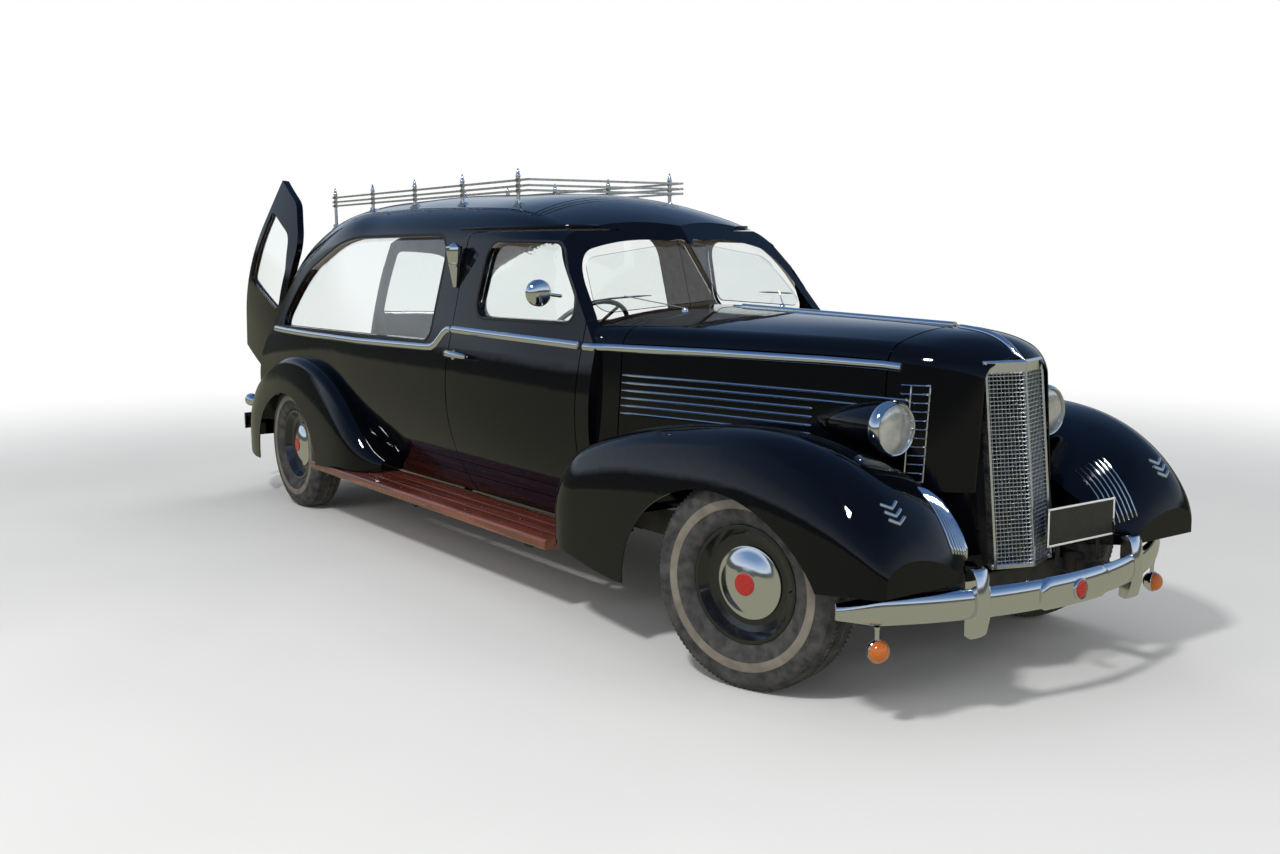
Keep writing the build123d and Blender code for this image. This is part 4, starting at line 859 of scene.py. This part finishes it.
# ---------------- handles, mirror, wipers
# Cast and plated lever handles on the doors and the left rear leaf, a round mirror on the driver's
# door and two light wiper arms on the scuttle.
def lever_handle(place, out, reach):
    """A rose on the skin with a lever that reaches off to one side."""
    rose_profile = [(-0.002, 0), (-0.002, 0.023), (0.003, 0.0235), (0.008, 0.018), (0.016, 0.011), (0.034, 0.01),
                    (0.036, 0)]
    reach = Vector(reach)
    upright = reach.cross(out).normalized()
    circle = [2 * math.pi * i / 12 for i in range(12)]
    rings = []
    for along, lift, thick in ((-0.03, 0.024, 0.0135), (-0.018, 0.036, 0.0175), (0.015, 0.044, 0.017),
                               (0.06, 0.048, 0.015), (0.112, 0.046, 0.0135), (0.158, 0.04, 0.012),
                               (0.177, 0.032, 0.008)):
        core = place + out * lift + reach * along
        rings.append([core + upright * (thick * math.sin(a)) + out * (thick * 0.7 * math.cos(a)) for a in circle])
    return joined([turned(rose_profile, along_axis(place, out), 32), lofted(rings)])


for side, name in hands:
    place, out = beside(surface("door_" + name), -2.11, side, 1.02)
    placed("door_handle_" + name, lever_handle(place, out, (1, 0, -0.02)), chrome, "door_" + name)
place, out = touch(surface("rear_door_l"), (-6.0 + axle, 0.075, 0.98), (1, 0, 0))
placed("rear_leaf_handle", lever_handle(place, out, (0, 0.75, 0)), chrome, "rear_door_l")
mirror_y, mirror_z = -0.815, 1.328
back_profile = [(0, 0), (0, 0.0545), (0.003, 0.0555), (0.008, 0.054), (0.016, 0.047), (0.022, 0.035), (0.026, 0.02),
                (0.027, 0)]
mirror_back = turned(back_profile, along_axis((-1.245 + axle, mirror_y, mirror_z), (1, 0, 0)), 48)
placed("mirror_back", mirror_back, chrome, "door_r")
silver = finish("mirror_silver", (0.86, 0.88, 0.89), 0.02, Metallic=1.0)
vary(silver, (15, 2), 0.015, 0.05)
mirror_profile = [(0, 0), (0, 0.05), (0.0015, 0.0505), (0.0025, 0.048), (0.003, 0)]
mirror_glass = turned(mirror_profile, along_axis((-1.2615 + axle, mirror_y, mirror_z), (-1, 0, 0)), 48)
placed("mirror_glass", mirror_glass, silver, "door_r")
wipers = []
pivot_profile = [(-0.003, 0), (-0.003, 0.014), (0.008, 0.012), (0.016, 0.007), (0.02, 0)]
blade_line = ((0.3, 1.304), (0.36, 1.301), (0.43, 1.297), (0.5, 1.293), (0.54, 1.291))
for side in (1, -1):
    pivot, pivot_out = above(shell, -0.975, side * 0.27)
    wipers.append(turned(pivot_profile, along_axis(pivot, pivot_out), 20))
    blade = [touch(surface("fixed_glass", "body_shell"), (1.6, side * y, z), (-1, 0, 0)) for y, z in blade_line]
    wipers.append(moulding([(p + out * 0.006, out) for p, out in blade], 0.0035, 0.006))
    start, end = pivot + pivot_out * 0.014, blade[2][0] + blade[2][1] * 0.016
    wipers.append(bar(start, end, 0.006, 0.004))
placed("wipers", wipers)

# ---------------- cab
# A leather bench, pleated over springs and hair, with its back screwed to the partition. A dark
# bakelite wheel on the column, and a painted steel facia with round dials in plated bezels.
leather = finish("dark_red_brown_leather", (0.1, 0.035, 0.022), 0.46, Specular_IOR_Level=0.4)
tint(leather, (9, 7), (0.3, (0.062, 0.021, 0.014)), (0.7, (0.15, 0.055, 0.036)))
vary(leather, (16, 6), 0.36, 0.58)
grain_bump = relief(leather, pattern(leather, "Voronoi", 330.0), 0.0012, 0.5)
relief(leather, (12, 5), 0.004, 0.3, before=grain_bump)


def cushion(low_corner, high_corner, across, crown, channels, channel_axis):
    """A crowned, welted pad between two corners: across is the axis its face points along."""
    shape = bmesh.new()
    bmesh.ops.create_cube(shape, size=2.0)
    bmesh.ops.subdivide_edges(shape, edges=shape.edges, cuts=47, use_grid_fill=True)
    centre = (Vector(low_corner) + Vector(high_corner)) / 2
    size = (Vector(high_corner) - Vector(low_corner)) / 2
    others = [i for i in range(3) if i != across]
    for v in shape.verts:
        p = v.co.copy()
        big = max(abs(c) for c in p)
        x2, y2, z2 = (c * c for c in p)
        pairs = ((y2, z2), (z2, x2), (x2, y2))
        soft = Vector([c * math.sqrt(max(0, 1 - (s + t) / 2 + s * t / 3)) for c, (s, t) in zip(p, pairs)])
        q = p.lerp(soft, 0.16)
        a, b = p[others[0]], p[others[1]]
        dome = (1 - a ** 4) * (1 - b ** 4)
        side_in = 1 - 0.035 * (1 - p[across] ** 2) * (1 if big == abs(a) or big == abs(b) else 0)
        q[others[0]] *= side_in
        q[others[1]] *= side_in
        lift = crown * dome * (1 if p[across] > 0 else 0.15)
        groove = math.cos(p[channel_axis] * channels * math.pi) * 0.5 + 0.5
        lift -= 0.009 * (groove ** 10) * dome * (1 if p[across] > 0.5 else 0)
        at = Vector([centre[i] + q[i] * size[i] for i in range(3)])
        at[across] += (lift - crown * 0.9) * max(0, p[across])
        v.co = at
    bmesh.ops.recalc_face_normals(shape, faces=shape.faces)
    mesh = bpy.data.meshes.new("cushion")
    shape.to_mesh(mesh)
    shape.free()
    return mesh


seat = cushion((-2.25 + axle, -0.56, 0.5653), (-1.76 + axle, 0.56, 0.7453), 2, 0.03, 12, 1)
placed("bench_cushion", seat, leather, "root", ("seat_cushion",))
back = cushion((-2.372 + axle, -0.56, 0.5653), (-2.251 + axle, 0.56, 1.1553), 0, 0.022, 12, 1)
placed("bench_back", back, leather, "root", ("seat_back",))
mat = finish("ribbed_black_floor_mat", (0.02, 0.02, 0.021), 0.8)
relief(mat, pattern(mat, "Wave", 60.0, stretch=(0, 1, 0)), 0.002, 0.6)
dress(mat, "cab_floor")
bakelite = finish("black_bakelite", (0.012, 0.011, 0.01), 0.22, Coat_Weight=0.4)
vary(bakelite, (50, 4), 0.16, 0.34)
dress(bakelite, "steering_wheel")
dial_face = finish("cream_dial_face", (0.62, 0.57, 0.45), 0.4)
vary(dial_face, (80, 2), 0.34, 0.48)
dial_rims, dial_faces = [], []
for y, r in ((-0.33, 0.052), (-0.2, 0.03), (-0.46, 0.03), (0.32, 0.04)):
    spot, out = touch(surface("facia"), (-1.6 + axle, y, 1.105), (1, 0, 0))
    seat_of_dial = along_axis(spot, out)
    dial_rims.append(turned([(-0.002, r), (-0.002, r + 0.006), (0.004, r + 0.006), (0.007, r + 0.002),
                             (0.004, r - 0.001), (-0.002, r)], seat_of_dial, 40))
    dial_faces.append(turned([(-0.002, 0), (-0.002, r), (0.002, r), (0.003, 0.003), (0.006, 0.003), (0.006, 0)],
                             seat_of_dial, 40))
placed("dial_rims", dial_rims)
placed("dial_faces", dial_faces, dial_face, "root")

# ---------------- load space
# A floor of narrow polished hardwood boards on the chassis rails, with two bright bearer rails
# screwed down along it and a row of rollers beside each.
deck_wood = finish("polished_deck_boards", (0.2, 0.07, 0.03), 0.28, Coat_Weight=0.6, Coat_Roughness=0.12)
tint(deck_wood, pattern(deck_wood, "Noise", 6.0, stretch=(0.4, 8.0, 8.0), Detail=9.0, Distortion=0.5),
     (0.3, (0.085, 0.026, 0.012)), (0.5, (0.2, 0.066, 0.03)), (0.7, (0.31, 0.115, 0.055)))
relief(deck_wood, pattern(deck_wood, "Wave", 3.1, stretch=(0, 1, 0)), 0.003, 0.25)
dress(deck_wood, "load_deck")
bearer_rear, bearer_front, bearer_y, bearer_z = -4.64 + axle, -2.51 + axle, 0.25, 0.6865
rollers, roller_step = 8, 0.26
runners = []
for side in (1, -1):
    runners.append(bar((bearer_rear, side * bearer_y, bearer_z), (bearer_front, side * bearer_y, bearer_z), 0.02,
                       0.005))
    roller = turned([(-0.045, 0), (-0.045, 0.012), (-0.04, 0.016), (0.04, 0.016), (0.045, 0.012), (0.045, 0)],
                    along_axis((-4.55 + axle, side * 0.17, 0.668), (0, 1, 0)), 16)
    runners.append(repeated(roller, chrome, rollers, step=(roller_step, 0, 0)))
placed("bearer_rails", runners)
